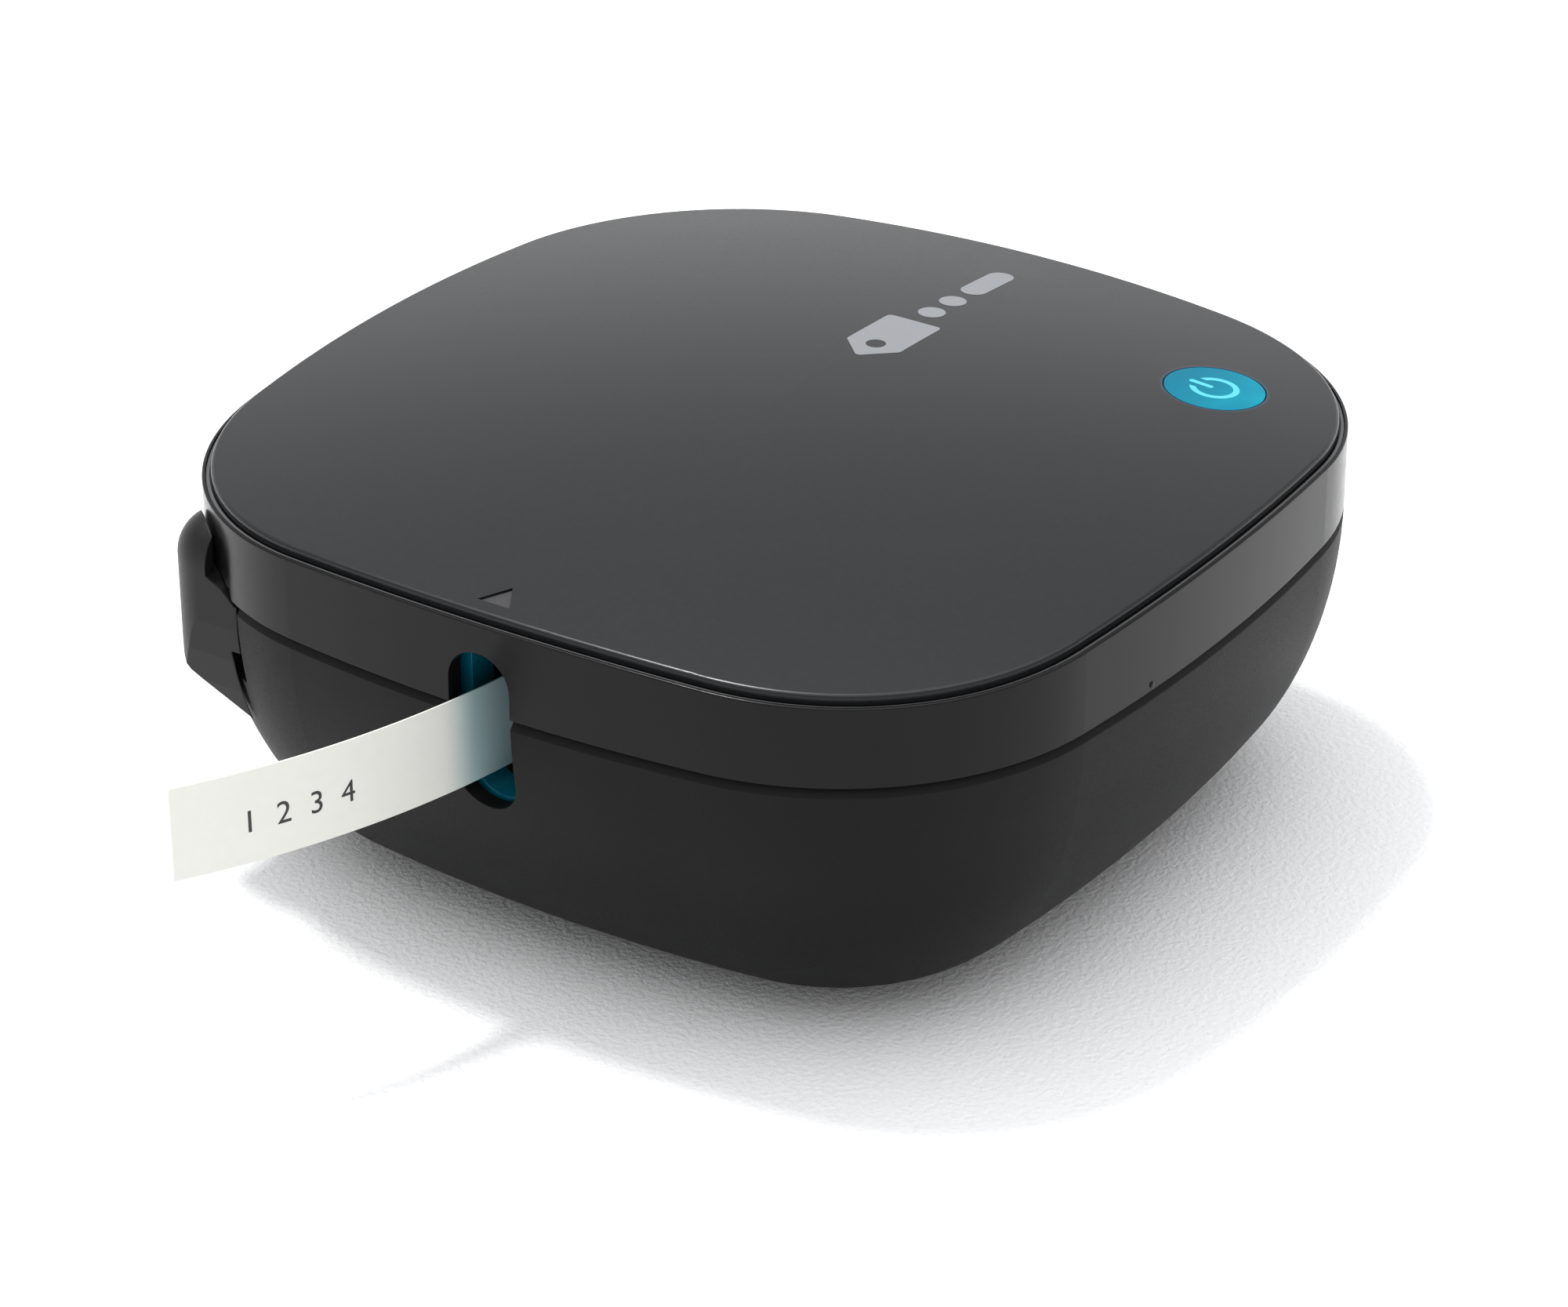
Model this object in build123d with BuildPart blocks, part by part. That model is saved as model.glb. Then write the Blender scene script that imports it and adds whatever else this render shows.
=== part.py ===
from build123d import *
import os
from math import asin, atan2, cos, degrees, hypot, pi, radians, sin, sqrt

# Label maker. Millimetres, +X right, +Y back, +Z up, origin at the centre of the foot ring's underside.
# The tape leaves through the slot in the -X wall. The cover lifts off upwards along the part line.

# ---- body outline: two side radii and one corner radius, all tangent -------------------------------
half_width = 63.0
half_depth = 63.2
side_radius_x = 224.0      # the gently bowed -X and +X sides
side_radius_y = 245.0      # the gently bowed -Y and +Y sides
corner_radius = 36.8

# ---- heights ---------------------------------------------------------------------------------------
part_line_z = 38.8
underside_z = 0.6
dome_apex_z = 54.6
dome_radius = 561.0
lip_drop = 1.0             # the cover's outer lip lies this far below the panel's dome
part_gap = 0.05

# ---- walls -----------------------------------------------------------------------------------------
wall = 2.2
floor_thickness = 2.0
bowl_run = 25.0            # how far the bowl's quarter ellipse comes inwards
bowl_core_inset = 30.0
groove_run = 1.0           # chamfer that opens the part line into a groove
groove_drop = 1.3
fit_gap = 0.15
running_gap = 0.05
loose_gap = 0.4

# ---- cover -----------------------------------------------------------------------------------------
lip_width = 0.45
lip_round = 0.2
panel_inset = 1.15
bead_inset = 0.55
bead_width = 0.4
panel_thickness = 1.6
panel_rim = 1.4            # width of the panel's edge where it stands on the deck
panel_edge_round = 0.5
deck_top_z = 48.6
deck_thickness = 1.6
skirt_depth = 1.8
skirt_width = 1.2
skirt_flange_z = 2.4       # top of the flange above the part line

# ---- tape slot and tape ----------------------------------------------------------------------------
slot_width = 8.8
slot_low_z = 25.2
slot_high_z = 46.4
tape_width = 12.0
tape_thickness = 0.2
tape_y = 0.4
tape_bend_x = -half_width + 22.0
tape_bend_radius = 110.0
tape_end_x = -half_width - 35.8

# ---- power button, emblem and slot mark ------------------------------------------------------------
button_x = half_width - 26.2
button_y = -half_depth + 22.2
button_radius = 6.4
button_travel = 0.8
bezel_width = 0.5
emblem_x = half_width - 29.0
emblem_y = -1.0
emblem_length = 36.5
emblem_height = 8.0
print_depth = 0.3
print_lift = 0.03
mark_x = -half_width + 3.4
mark_length = 3.8
mark_width = 4.6
mark_recess = 0.3

# ---- cutter lever: a corner key outside the wall, on an arm that turns about a pin along X -----------
lever_face_x = -half_width + 5.8
lever_inner_x = lever_face_x + 9.7
lever_back_y = half_depth - 10.0
lever_front_y = lever_back_y - 12.1
lever_low_z = 21.6
lever_heel_z = 28.4
lever_top_z = 47.2
lever_shoulder = 5.5
lever_corner = 6.0
lever_neck_low_z = 31.6
lever_neck_high_z = 41.0
lever_gap = 0.45
window_front_y = lever_front_y - 0.7
window_inner_x = lever_inner_x + 0.9
window_low_z = 27.7
pivot_y = lever_front_y - 21.1
pivot_z = 33.0
pivot_radius = 1.5
pivot_boss_radius = 3.6
arm_low_x = lever_inner_x - 2.5
arm_width = 3.0
arm_low_z = 29.6
arm_high_z = 36.4
nose_y = lever_front_y - 4.3
nose_top_z = 36.6
wedge_gap = 0.6
spring_y = lever_front_y - 8.1

# ---- blade and carrier -----------------------------------------------------------------------------
blade_x = lever_face_x + 3.7
blade_thickness = 0.6
blade_edge_y = tape_y + 4.2
carrier_front_y = blade_edge_y + 4.9
carrier_back_y = lever_front_y - 1.1
carrier_half_x = 1.4
carrier_low_z = 30.2
carrier_high_z = 35.0

# ---- batteries: the chassis stands on the height of their bay ----------------------------------------
cell_radius = 7.25
cell_length = 50.5
cell_pitch = 2 * cell_radius + 0.3
cell_count = 4
nub_radius = 2.6
nub_length = 1.2
contact_space = 2.6
bay_wall = 1.4
foot_inset = 27.5
foot_width = 2.6

# ---- chassis and drive -----------------------------------------------------------------------------
tray_low_z = underside_z + floor_thickness + 2 * cell_radius + 1.9
tray_thickness = 1.8
tray_inset = 6.6
gear_gap = 0.5
gear_width = 2.4
gear_module = 0.8
pinion_teeth = 12
idler_teeth = 30
platen_teeth = 20
backlash = 0.24
platen_x = -half_width + 20.0
platen_radius = 4.0
platen_shaft_radius = 1.2
idler_bearing_deg = 45.0
motor_bearing_deg = 60.0
motor_radius = 9.0
motor_height = 16.5
motor_shaft_radius = 1.0
plate_thickness = 1.0
tray_top_z = tray_low_z + tray_thickness
gear_low_z = tray_top_z + gear_gap
gear_high_z = gear_low_z + gear_width
plate_low_z = gear_high_z + gear_gap
plate_top_z = plate_low_z + plate_thickness

# ---- cassette --------------------------------------------------------------------------------------
cassette_low_x = -half_width + 29.0
cassette_high_x = cassette_low_x + 58.0
cassette_half_y = 21.0
cassette_low_z = plate_top_z + 0.4
cassette_height = 17.0
tape_centre_z = cassette_low_z + 8.4
cassette_wall = 1.2
cassette_lid_thickness = 1.6
cassette_corner = 9.0
roll_x = cassette_high_x - 21.0
roll_y = 0.0
roll_radius = 15.0
hub_radius = 6.0
spindle_radius = 2.5
guide_x = cassette_low_x + 8.0
guide_y = -6.0
guide_radius = 3.0

# ---- circuit board ---------------------------------------------------------------------------------
board_low_x = cassette_high_x + 4.5
board_z = 35.0
board_thickness = 1.6
board_inset = 6.5
switch_height = 4.0
screw_radius = 1.4
screw_head_radius = 2.6

far = half_width + 20.0    # past every side

os.makedirs("parts", exist_ok=True)


def save(piece, name):
    piece.part.label = name
    export_step(piece.part, f"parts/{name}.step")


# ---- the outline's arcs ----------------------------------------------------------------------------
side_centre_x = half_width - side_radius_x
side_centre_y = half_depth - side_radius_y


def corner_centre():
    """Centre of the +X +Y corner arc, which touches both side arcs from inside."""
    to_x_side = side_radius_x - corner_radius
    to_y_side = side_radius_y - corner_radius
    span = hypot(side_centre_x, side_centre_y)
    along = (to_x_side**2 - to_y_side**2 + span**2) / (2 * span)
    across = sqrt(to_x_side**2 - along**2)
    ux, uy = -side_centre_x / span, side_centre_y / span
    return (side_centre_x + ux * along - uy * across, uy * along + ux * across)


corner_x, corner_y = corner_centre()
half_turn_x = degrees(atan2(corner_y, corner_x - side_centre_x))
half_turn_y = degrees(atan2(corner_x, corner_y - side_centre_y))


def outline_arcs():
    """The eight arcs of the plan outline: centre, radius, start angle and turn, counterclockwise."""
    corner_turn = 90 - half_turn_x - half_turn_y
    arcs = []
    for quarter in range(4):
        flat_x = quarter % 2 == 0
        facing = 90 * quarter
        reach = side_centre_x if flat_x else side_centre_y
        half_turn = half_turn_x if flat_x else half_turn_y
        radius = side_radius_x if flat_x else side_radius_y
        centre = (reach * cos(radians(facing)), reach * sin(radians(facing)))
        arcs.append((centre, radius, facing - half_turn, 2 * half_turn))
        corner = (
            corner_x * (1 if quarter in (0, 3) else -1),
            corner_y * (1 if quarter < 2 else -1),
        )
        arcs.append((corner, corner_radius, facing + half_turn, corner_turn))
    return arcs


def plan(inset):
    """The plan outline as a sketch, moved inwards on concentric arcs."""
    with BuildSketch(mode=Mode.PRIVATE) as sketch:
        with BuildLine():
            for centre, radius, start, turn in outline_arcs():
                CenterArc(centre, radius - inset, start, turn)
        make_face()
    return sketch.sketch


def prism(inset, low_z, high_z):
    """The plan outline, moved inwards, between two heights."""
    with BuildPart(mode=Mode.PRIVATE) as solid:
        with BuildSketch(Plane.XY.offset(low_z)):
            add(plan(inset))
        extrude(amount=high_z - low_z)
    return solid.part


def box(low, high):
    """A plain box between two corners."""
    size = [b - a for a, b in zip(low, high)]
    middle = tuple((a + b) / 2 for a, b in zip(low, high))
    with BuildPart(mode=Mode.PRIVATE) as solid:
        with Locations(middle):
            Box(*size)
    return solid.part


def rod(x, y, low_z, high_z, radius, hole=0.0):
    """An upright cylinder, with a bore if one is given."""
    with BuildPart(mode=Mode.PRIVATE) as solid:
        with BuildSketch(Plane.XY.offset(low_z)):
            with Locations((x, y)):
                Circle(radius)
                if hole:
                    Circle(hole, mode=Mode.SUBTRACT)
        extrude(amount=high_z - low_z)
    return solid.part


def bowl(inset, bottom_z, chamfered=False):
    """The bowl below the part line: a quarter ellipse carried round the outline, then cut flat."""
    run = bowl_run - inset
    drop = part_line_z - (bottom_z if inset else 0.0)
    start = -degrees(asin(groove_drop / drop)) if chamfered else 0.0
    with BuildPart(mode=Mode.PRIVATE) as solid:
        for centre, radius, first, turn in outline_arcs():
            outward = (cos(radians(first)), sin(radians(first)), 0)
            across = (outward[1], -outward[0], 0)
            with BuildSketch(Plane(origin=(*centre, part_line_z), x_dir=outward, z_dir=across)):
                with BuildLine():
                    edge = radius - inset
                    curve = EllipticalCenterArc((edge - run, 0), run, drop, start, arc_size=-90 - start)
                    rim = edge - groove_run if chamfered else edge
                    inner = radius - bowl_core_inset
                    Polyline(curve @ 1, (inner, -drop), (inner, 0), (rim, 0))
                    if chamfered:
                        Line((rim, 0), curve @ 0)
                make_face()
            revolve(axis=Axis((*centre, 0), (0, 0, 1)), revolution_arc=turn)
        add(prism(bowl_core_inset, part_line_z - drop, part_line_z))
        split(bisect_by=Plane.XY.offset(bottom_z), keep=Keep.TOP)
    return solid.part


def dome(lift):
    """Everything below the crowned top, raised by lift."""
    reach = half_width + half_depth
    sag = dome_radius - sqrt(dome_radius**2 - reach**2)
    apex = dome_apex_z + lift
    with BuildPart(mode=Mode.PRIVATE) as solid:
        with BuildSketch(Plane.XZ):
            with BuildLine():
                RadiusArc((0, apex), (reach, apex - sag), dome_radius)
                Polyline((reach, apex - sag), (reach, 0), (0, 0), (0, apex))
            make_face()
        revolve(axis=Axis.Z)
    return solid.part


def slot_cut(grow, low_x, high_x):
    """The upright slot with round ends, as a tool along X."""
    width = slot_width + 2 * grow
    height = slot_high_z - slot_low_z + 2 * grow
    with BuildPart(mode=Mode.PRIVATE) as tool:
        with BuildSketch(Plane.YZ.offset(low_x)):
            with Locations((0, (slot_low_z + slot_high_z) / 2)):
                SlotOverall(height, width, rotation=90)
        extrude(amount=high_x - low_x)
    return tool.part


def lever_block():
    """The key's outer shape: a corner block, rounded over at the top, whose lower face follows the bowl."""
    with BuildPart(mode=Mode.PRIVATE) as block:
        with BuildSketch(Plane.XY.offset(lever_low_z)):
            Polygon(
                (lever_face_x, lever_front_y),
                (lever_inner_x, lever_front_y),
                (lever_inner_x, lever_back_y),
                (lever_face_x, lever_back_y),
                align=None,
            )
        extrude(amount=lever_top_z - lever_low_z)
        corner = block.edges().filter_by(Axis.Z).sort_by(lambda e: e.center().X - e.center().Y)[0]
        fillet(corner, lever_corner)
        rim = block.faces().sort_by(Axis.Z)[-1].edges().filter_by(
            lambda e: e.center().X < lever_inner_x - 0.1 and e.center().Y > lever_front_y + 0.1
        )
        fillet(rim, lever_shoulder)
        # the underside rises to the back, and the back leans in towards it
        with BuildSketch(Plane.YZ.offset(-far)):
            Polygon(
                (lever_front_y - 1, lever_low_z),
                (lever_front_y, lever_low_z),
                (lever_back_y - 3.4, lever_heel_z - 1.8),
                (lever_back_y - 2.0, lever_heel_z),
                (lever_back_y, lever_top_z - lever_shoulder),
                (lever_back_y, lever_top_z + 1),
                (lever_front_y - 1, lever_top_z + 1),
                align=None,
            )
        extrude(amount=far, mode=Mode.INTERSECT)
        # the outer face bends inwards with the bowl
        with BuildSketch(Plane.XZ.offset(-far)):
            Polygon(
                (lever_face_x, lever_top_z + 1),
                (lever_face_x, lever_low_z + 13.0),
                (lever_face_x + 0.4, lever_low_z + 8.5),
                (lever_face_x + 1.2, lever_low_z + 4.0),
                (lever_face_x + 2.2, lever_low_z),
                (lever_inner_x, lever_low_z),
                (lever_inner_x, lever_top_z + 1),
                align=None,
            )
        extrude(amount=far, mode=Mode.INTERSECT)
    return block.part


def window_cut():
    """The opening for the key's neck, through both shells, with an arched top."""
    front = window_front_y
    top = lever_neck_high_z + lever_gap
    with BuildPart(mode=Mode.PRIVATE) as tool:
        with BuildSketch(Plane.YZ.offset(-far)):
            with BuildLine():
                Polyline(
                    (front + 5.0, top),
                    (far, top),
                    (far, window_low_z),
                    (front, window_low_z),
                    (front, part_line_z - 0.2),
                    (front + 1.2, part_line_z + part_gap),
                )
                RadiusArc((front + 1.2, part_line_z + part_gap), (front + 5.0, top), 5.0)
            make_face()
        extrude(amount=window_inner_x + far)
    return tool.part


def teeth(count):
    """A spur gear's outline: straight-flanked teeth about the pitch circle, with backlash."""
    pitch_radius = gear_module * count / 2
    root_radius = pitch_radius - 1.15 * gear_module
    tip_radius = pitch_radius + 0.9 * gear_module
    half_pitch = (pi * gear_module - backlash) / 4
    root_half = half_pitch + 0.36 * gear_module
    tip_half = half_pitch - 0.36 * gear_module
    with BuildSketch(mode=Mode.PRIVATE) as sketch:
        Circle(root_radius)
        with PolarLocations(0, count):
            with BuildLine():
                Polyline(
                    (root_radius - 0.3, -root_half),
                    (tip_radius, -tip_half),
                    (tip_radius, tip_half),
                    (root_radius - 0.3, root_half),
                    close=True,
                )
            make_face()
    return sketch.sketch


outer_bowl = bowl(0.0, underside_z, chamfered=True)
inner_bowl = bowl(wall, underside_z + floor_thickness)
key_clearance = bowl(-lever_gap, underside_z)
platen_y = tape_y + tape_thickness / 2 + 0.1 + platen_radius
idler_reach = gear_module * (platen_teeth + idler_teeth) / 2
motor_reach = gear_module * (pinion_teeth + idler_teeth) / 2
idler_x = platen_x + idler_reach * cos(radians(idler_bearing_deg))
idler_y = platen_y + idler_reach * sin(radians(idler_bearing_deg))
motor_x = idler_x + motor_reach * cos(radians(motor_bearing_deg))
motor_y = idler_y + motor_reach * sin(radians(motor_bearing_deg))
window_tool = window_cut()
slot_tool = slot_cut(0.0, -far, -half_width + 2 * wall + 1.5)

# ---- lower shell -----------------------------------------------------------------------------------
bay_half_x = cell_length / 2 + contact_space
bay_half_y = cell_pitch * cell_count / 2 + 0.3
bay_top_z = tray_low_z - 0.2
boss_spots = [(sx * (half_width - 21), sy * (half_depth - 27.2)) for sx in (-1, 1) for sy in (-1, 1)]
boss_top_z = tray_low_z
door_margin = 1.6

with BuildPart() as lower_shell:
    add(outer_bowl)
    add(inner_bowl, mode=Mode.SUBTRACT)
    with BuildSketch(Plane.XY.offset(underside_z + floor_thickness)):
        Rectangle(2 * (bay_half_x + bay_wall), 2 * (bay_half_y + bay_wall))
        Rectangle(2 * bay_half_x, 2 * bay_half_y, mode=Mode.SUBTRACT)
    extrude(amount=bay_top_z - underside_z - floor_thickness)
    for spot in boss_spots:
        add(rod(*spot, underside_z + 0.5, boss_top_z, 3.4, screw_radius - 0.25))
    add(outer_bowl, mode=Mode.INTERSECT)
    # battery door opening, with a ledge that the door closes against
    with BuildSketch(Plane.XY.offset(underside_z)):
        Rectangle(2 * (bay_half_x - door_margin), 2 * (bay_half_y - door_margin))
    extrude(amount=floor_thickness + 1, mode=Mode.SUBTRACT)
    with BuildSketch(Plane.XY.offset(underside_z)):
        Rectangle(2 * bay_half_x, 2 * bay_half_y)
    extrude(amount=floor_thickness / 2, mode=Mode.SUBTRACT)
    # groove for the foot ring
    with BuildSketch(Plane.XY.offset(underside_z)):
        add(plan(foot_inset))
        add(plan(foot_inset + foot_width), mode=Mode.SUBTRACT)
    extrude(amount=0.8, mode=Mode.SUBTRACT)
    add(slot_tool, mode=Mode.SUBTRACT)
    add(window_tool, mode=Mode.SUBTRACT)
save(lower_shell, "lower_shell")

with BuildPart() as foot_ring:
    with BuildSketch():
        add(plan(foot_inset))
        add(plan(foot_inset + foot_width), mode=Mode.SUBTRACT)
    extrude(amount=underside_z + 0.8)
save(foot_ring, "foot_ring")

# ---- battery door and cells ------------------------------------------------------------------------
with BuildPart() as battery_door:
    with BuildSketch(Plane.XY.offset(underside_z)):
        Rectangle(2 * (bay_half_x - fit_gap), 2 * (bay_half_y - fit_gap))
    extrude(amount=floor_thickness / 2 - running_gap)
    with BuildSketch(Plane.XY.offset(underside_z + floor_thickness / 2 - running_gap)):
        Rectangle(2 * (bay_half_x - door_margin - fit_gap), 2 * (bay_half_y - door_margin - fit_gap))
    extrude(amount=floor_thickness / 2 - 0.1)
    # finger grip: three shallow grooves across the outside
    with BuildSketch(Plane.XY.offset(underside_z)):
        with Locations((bay_half_x - 9, 0)):
            with GridLocations(2.4, 0, 3, 1):
                SlotOverall(16, 1.2, rotation=90)
    extrude(amount=0.4, mode=Mode.SUBTRACT)
save(battery_door, "battery_door")

cell_z = underside_z + floor_thickness + 0.3 + cell_radius
for number in range(cell_count):
    cell_y = (number - (cell_count - 1) / 2) * cell_pitch
    facing = 1 if number % 2 else -1
    with BuildPart() as cell:
        with BuildSketch(Plane(origin=(0, cell_y, cell_z), x_dir=(facing, 0, 0), z_dir=(0, -facing, 0))):
            with BuildLine():
                Polyline(
                    (-cell_length / 2, 0),
                    (-cell_length / 2, cell_radius - 0.6),
                    (-cell_length / 2 + 0.6, cell_radius),
                    (cell_length / 2 - nub_length - 0.8, cell_radius),
                    (cell_length / 2 - nub_length, cell_radius - 0.8),
                    (cell_length / 2 - nub_length, nub_radius),
                    (cell_length / 2, nub_radius),
                    (cell_length / 2, 0),
                    close=True,
                )
            make_face()
        revolve(axis=Axis((0, cell_y, cell_z), (1, 0, 0)))
    save(cell, f"aa_cell_{number + 1}")

leaf = 0.4
for name, side in (("battery_contacts_left", -1), ("battery_contacts_right", 1)):
    with BuildPart() as contacts:
        for number in range(cell_count):
            cell_y = (number - (cell_count - 1) / 2) * cell_pitch
            outer = side * (bay_half_x - running_gap)
            with BuildSketch(Plane.XZ.offset(-cell_y - 4.5)):
                with BuildLine():
                    Polyline(
                        (outer, cell_z - 5),
                        (outer, cell_z + 5),
                        (outer - side * leaf, cell_z + 5),
                        (outer - side * leaf, cell_z + 2.8),
                        (side * (cell_length / 2 + 0.1), cell_z + 1.4),
                        (side * (cell_length / 2 + 0.1), cell_z - 1.4),
                        (outer - side * leaf, cell_z - 2.8),
                        (outer - side * leaf, cell_z - 5),
                        close=True,
                    )
                make_face()
            extrude(amount=9)
    save(contacts, name)

# ---- chassis tray ----------------------------------------------------------------------------------
chute_front_x = -half_width + wall + 2.2
chute_low_z = slot_low_z - 1.2
chute_back_x = blade_x - 0.9
chute_half_y = slot_width / 2 + 1.6
rib_height = 9.0
plate_posts = [(platen_x + x, y) for x, y in ((32.5, -8.0), (-4.5, -11.2), (1.5, 30.0), (33.0, 41.0))]
board_posts = [
    (board_low_x + 4.5, -half_depth + 29.2),
    (board_low_x + 4.5, half_depth - 33.2),
    (half_width - 15.0, -22.0),
    (half_width - 15.0, 22.0),
]

with BuildPart() as chassis_tray:
    add(prism(tray_inset, tray_low_z, tray_top_z))
    # the chute that guides the tape to the slot
    add(box((chute_front_x, -chute_half_y, chute_low_z), (chute_back_x, chute_half_y, slot_high_z - 0.3)))
    add(box((chute_back_x - 1.6, -chute_half_y, tray_top_z), (chute_back_x, chute_half_y, chute_low_z + 0.5)))
    add(slot_cut(-0.2, chute_front_x - 1, chute_back_x + 1), mode=Mode.SUBTRACT)
    # open at the top, so that the tape can lift out with its cassette
    open_y = slot_width / 2 - 0.2
    open_low_z = slot_high_z - slot_width / 2
    add(box((chute_front_x - 1, -open_y, open_low_z), (chute_back_x + 1, open_y, slot_high_z)), mode=Mode.SUBTRACT)
    # locating ribs round the cassette
    rib_z = cassette_low_z + rib_height
    for side in (-1, 1):
        rib_y = side * (cassette_half_y + loose_gap)
        low_y, high_y = sorted((rib_y, rib_y + side * 1.5))
        add(box((cassette_low_x + 27.5, low_y, tray_top_z), (cassette_high_x - 4, high_y, rib_z)))
    add(box((cassette_high_x + loose_gap, -12, tray_top_z), (cassette_high_x + 1.9, 12, rib_z)))
    # pads under the cassette
    for pad in ((cassette_high_x - 9, -13), (cassette_high_x - 9, 13), (cassette_low_x + 30, -14)):
        add(rod(*pad, tray_top_z, cassette_low_z, 3.0))
    # posts under the mechanism plate
    for post in plate_posts:
        add(rod(*post, tray_top_z, plate_low_z, 2.6, 0.9))
    # cheeks that hold the lever's pin, and the carrier's guide block
    for low_x in (arm_low_x - 1.6, arm_low_x + arm_width + 0.2):
        add(box((low_x, pivot_y - 3, tray_top_z), (low_x + 1.4, pivot_y + 3, pivot_z + 3)))
    with BuildSketch(Plane.YZ.offset(arm_low_x - 2)):
        with Locations((pivot_y, pivot_z)):
            Circle(pivot_radius)
    extrude(amount=arm_width + 4, mode=Mode.SUBTRACT)
    add(box((blade_x - 0.2, pivot_y + 4, tray_top_z), (blade_x + 2.2, pivot_y + 13, carrier_low_z - 0.1)))
    # posts under the circuit board
    for post in board_posts:
        add(rod(*post, tray_top_z, board_z, 2.4, 0.9))
    for spot in boss_spots:
        add(rod(*spot, tray_low_z - 1, tray_top_z + 1, screw_radius + 0.1), mode=Mode.SUBTRACT)
save(chassis_tray, "chassis_tray")

with BuildPart() as chassis_screws:
    for spot in boss_spots:
        add(rod(*spot, tray_low_z - 9, tray_top_z, screw_radius - 0.3))
        add(rod(*spot, tray_top_z, tray_top_z + 1.6, screw_head_radius))
        with BuildSketch(Plane.XY.offset(tray_top_z + 0.8)):
            with Locations(spot):
                Rectangle(2.6, 0.6)
                Rectangle(0.6, 2.6)
        extrude(amount=1, mode=Mode.SUBTRACT)
save(chassis_screws, "chassis_screws")

# ---- mechanism plate, motor and gears --------------------------------------------------------------
with BuildPart() as mechanism_plate:
    with BuildSketch(Plane.XY.offset(plate_low_z)):
        with BuildLine():
            Polyline(
                (platen_x - 7.4, -13.6),
                (platen_x + 35.4, -13.6),
                (platen_x + 35.4, 43.6),
                (platen_x + 13.0, 43.6),
                (platen_x - 1.6, 33.4),
                (platen_x - 1.6, 14.6),
                (platen_x - 7.4, 13.4),
                close=True,
            )
        make_face()
        fillet(vertices(), 2.0)
        with Locations((platen_x, platen_y), (idler_x, idler_y)):
            Circle(platen_shaft_radius + running_gap, mode=Mode.SUBTRACT)
        with Locations((motor_x, motor_y)):
            Circle(motor_shaft_radius + 1.5, mode=Mode.SUBTRACT)
        with Locations(*plate_posts):
            Circle(1.1, mode=Mode.SUBTRACT)
    extrude(amount=plate_thickness)
save(mechanism_plate, "mechanism_plate")

with BuildPart() as plate_screws:
    for spot in plate_posts[1:]:
        add(rod(*spot, tray_top_z, plate_top_z, 0.9))
        with BuildSketch(Plane.XY.offset(plate_top_z)):
            with Locations(spot):
                Circle(1.9)
                Rectangle(2.2, 0.5, mode=Mode.SUBTRACT)
        extrude(amount=1.2)
save(plate_screws, "plate_screws")

with BuildPart() as drive_motor:
    with BuildSketch(Plane.XY.offset(plate_top_z)):
        with Locations((motor_x, motor_y)):
            Circle(motor_radius)
            Circle(motor_shaft_radius + 1.2, mode=Mode.SUBTRACT)
    extrude(amount=motor_height)
    with BuildSketch(Plane.XY.offset(plate_top_z + 3)):
        with Locations((motor_x, motor_y)):
            Circle(motor_radius - 2)
    extrude(amount=motor_height - 3)
    with BuildSketch(Plane.XY.offset(plate_top_z + motor_height)):
        with Locations((motor_x, motor_y)):
            Circle(3.0)
    extrude(amount=1.0)
save(drive_motor, "drive_motor")


def gear(count, x, y, phase_deg, bore):
    """A spur gear between the tray and the mechanism plate."""
    with BuildPart(mode=Mode.PRIVATE) as wheel:
        with BuildSketch(Plane(origin=(x, y, gear_low_z), x_dir=(cos(radians(phase_deg)), sin(radians(phase_deg)), 0))):
            add(teeth(count))
            Circle(bore, mode=Mode.SUBTRACT)
        extrude(amount=gear_width)
    return wheel.part


# A tooth of one gear faces a space of the next along the line between their centres.
platen_phase = idler_bearing_deg
idler_phase = idler_bearing_deg + 180 + 180 / idler_teeth
idler_to_motor = motor_bearing_deg - idler_phase
idler_offset = idler_to_motor % (360 / idler_teeth)
pinion_phase = motor_bearing_deg + 180 + 180 / pinion_teeth + idler_offset * idler_teeth / pinion_teeth

with BuildPart() as motor_pinion:
    add(gear(pinion_teeth, motor_x, motor_y, pinion_phase, motor_shaft_radius))
    add(rod(motor_x, motor_y, gear_low_z, plate_top_z + 2.4, motor_shaft_radius))
save(motor_pinion, "motor_pinion")

with BuildPart() as idler_gear:
    add(gear(idler_teeth, idler_x, idler_y, idler_phase, platen_shaft_radius + running_gap))
    # lightening holes
    with BuildSketch(Plane.XY.offset(gear_low_z)):
        with Locations((idler_x, idler_y)):
            with PolarLocations(6.0, 5):
                Circle(2.0)
    extrude(amount=gear_width, mode=Mode.SUBTRACT)
save(idler_gear, "idler_gear")

with BuildPart() as idler_axle:
    add(rod(idler_x, idler_y, tray_top_z, plate_top_z, platen_shaft_radius))
save(idler_axle, "idler_axle")

platen_low_z = tape_centre_z - tape_width / 2 - 0.4
platen_high_z = tape_centre_z + tape_width / 2 + 0.4
bracket_z = platen_high_z + 1.0

with BuildPart() as platen_gear:
    add(gear(platen_teeth, platen_x, platen_y, platen_phase, platen_shaft_radius))
save(platen_gear, "platen_gear")

with BuildPart() as platen_shaft:
    add(rod(platen_x, platen_y, tray_top_z + 0.1, bracket_z + 1.4, platen_shaft_radius))
save(platen_shaft, "platen_shaft")

with BuildPart() as platen_roller:
    add(rod(platen_x, platen_y, platen_low_z, platen_high_z, platen_radius, platen_shaft_radius))
save(platen_roller, "platen_roller")

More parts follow.
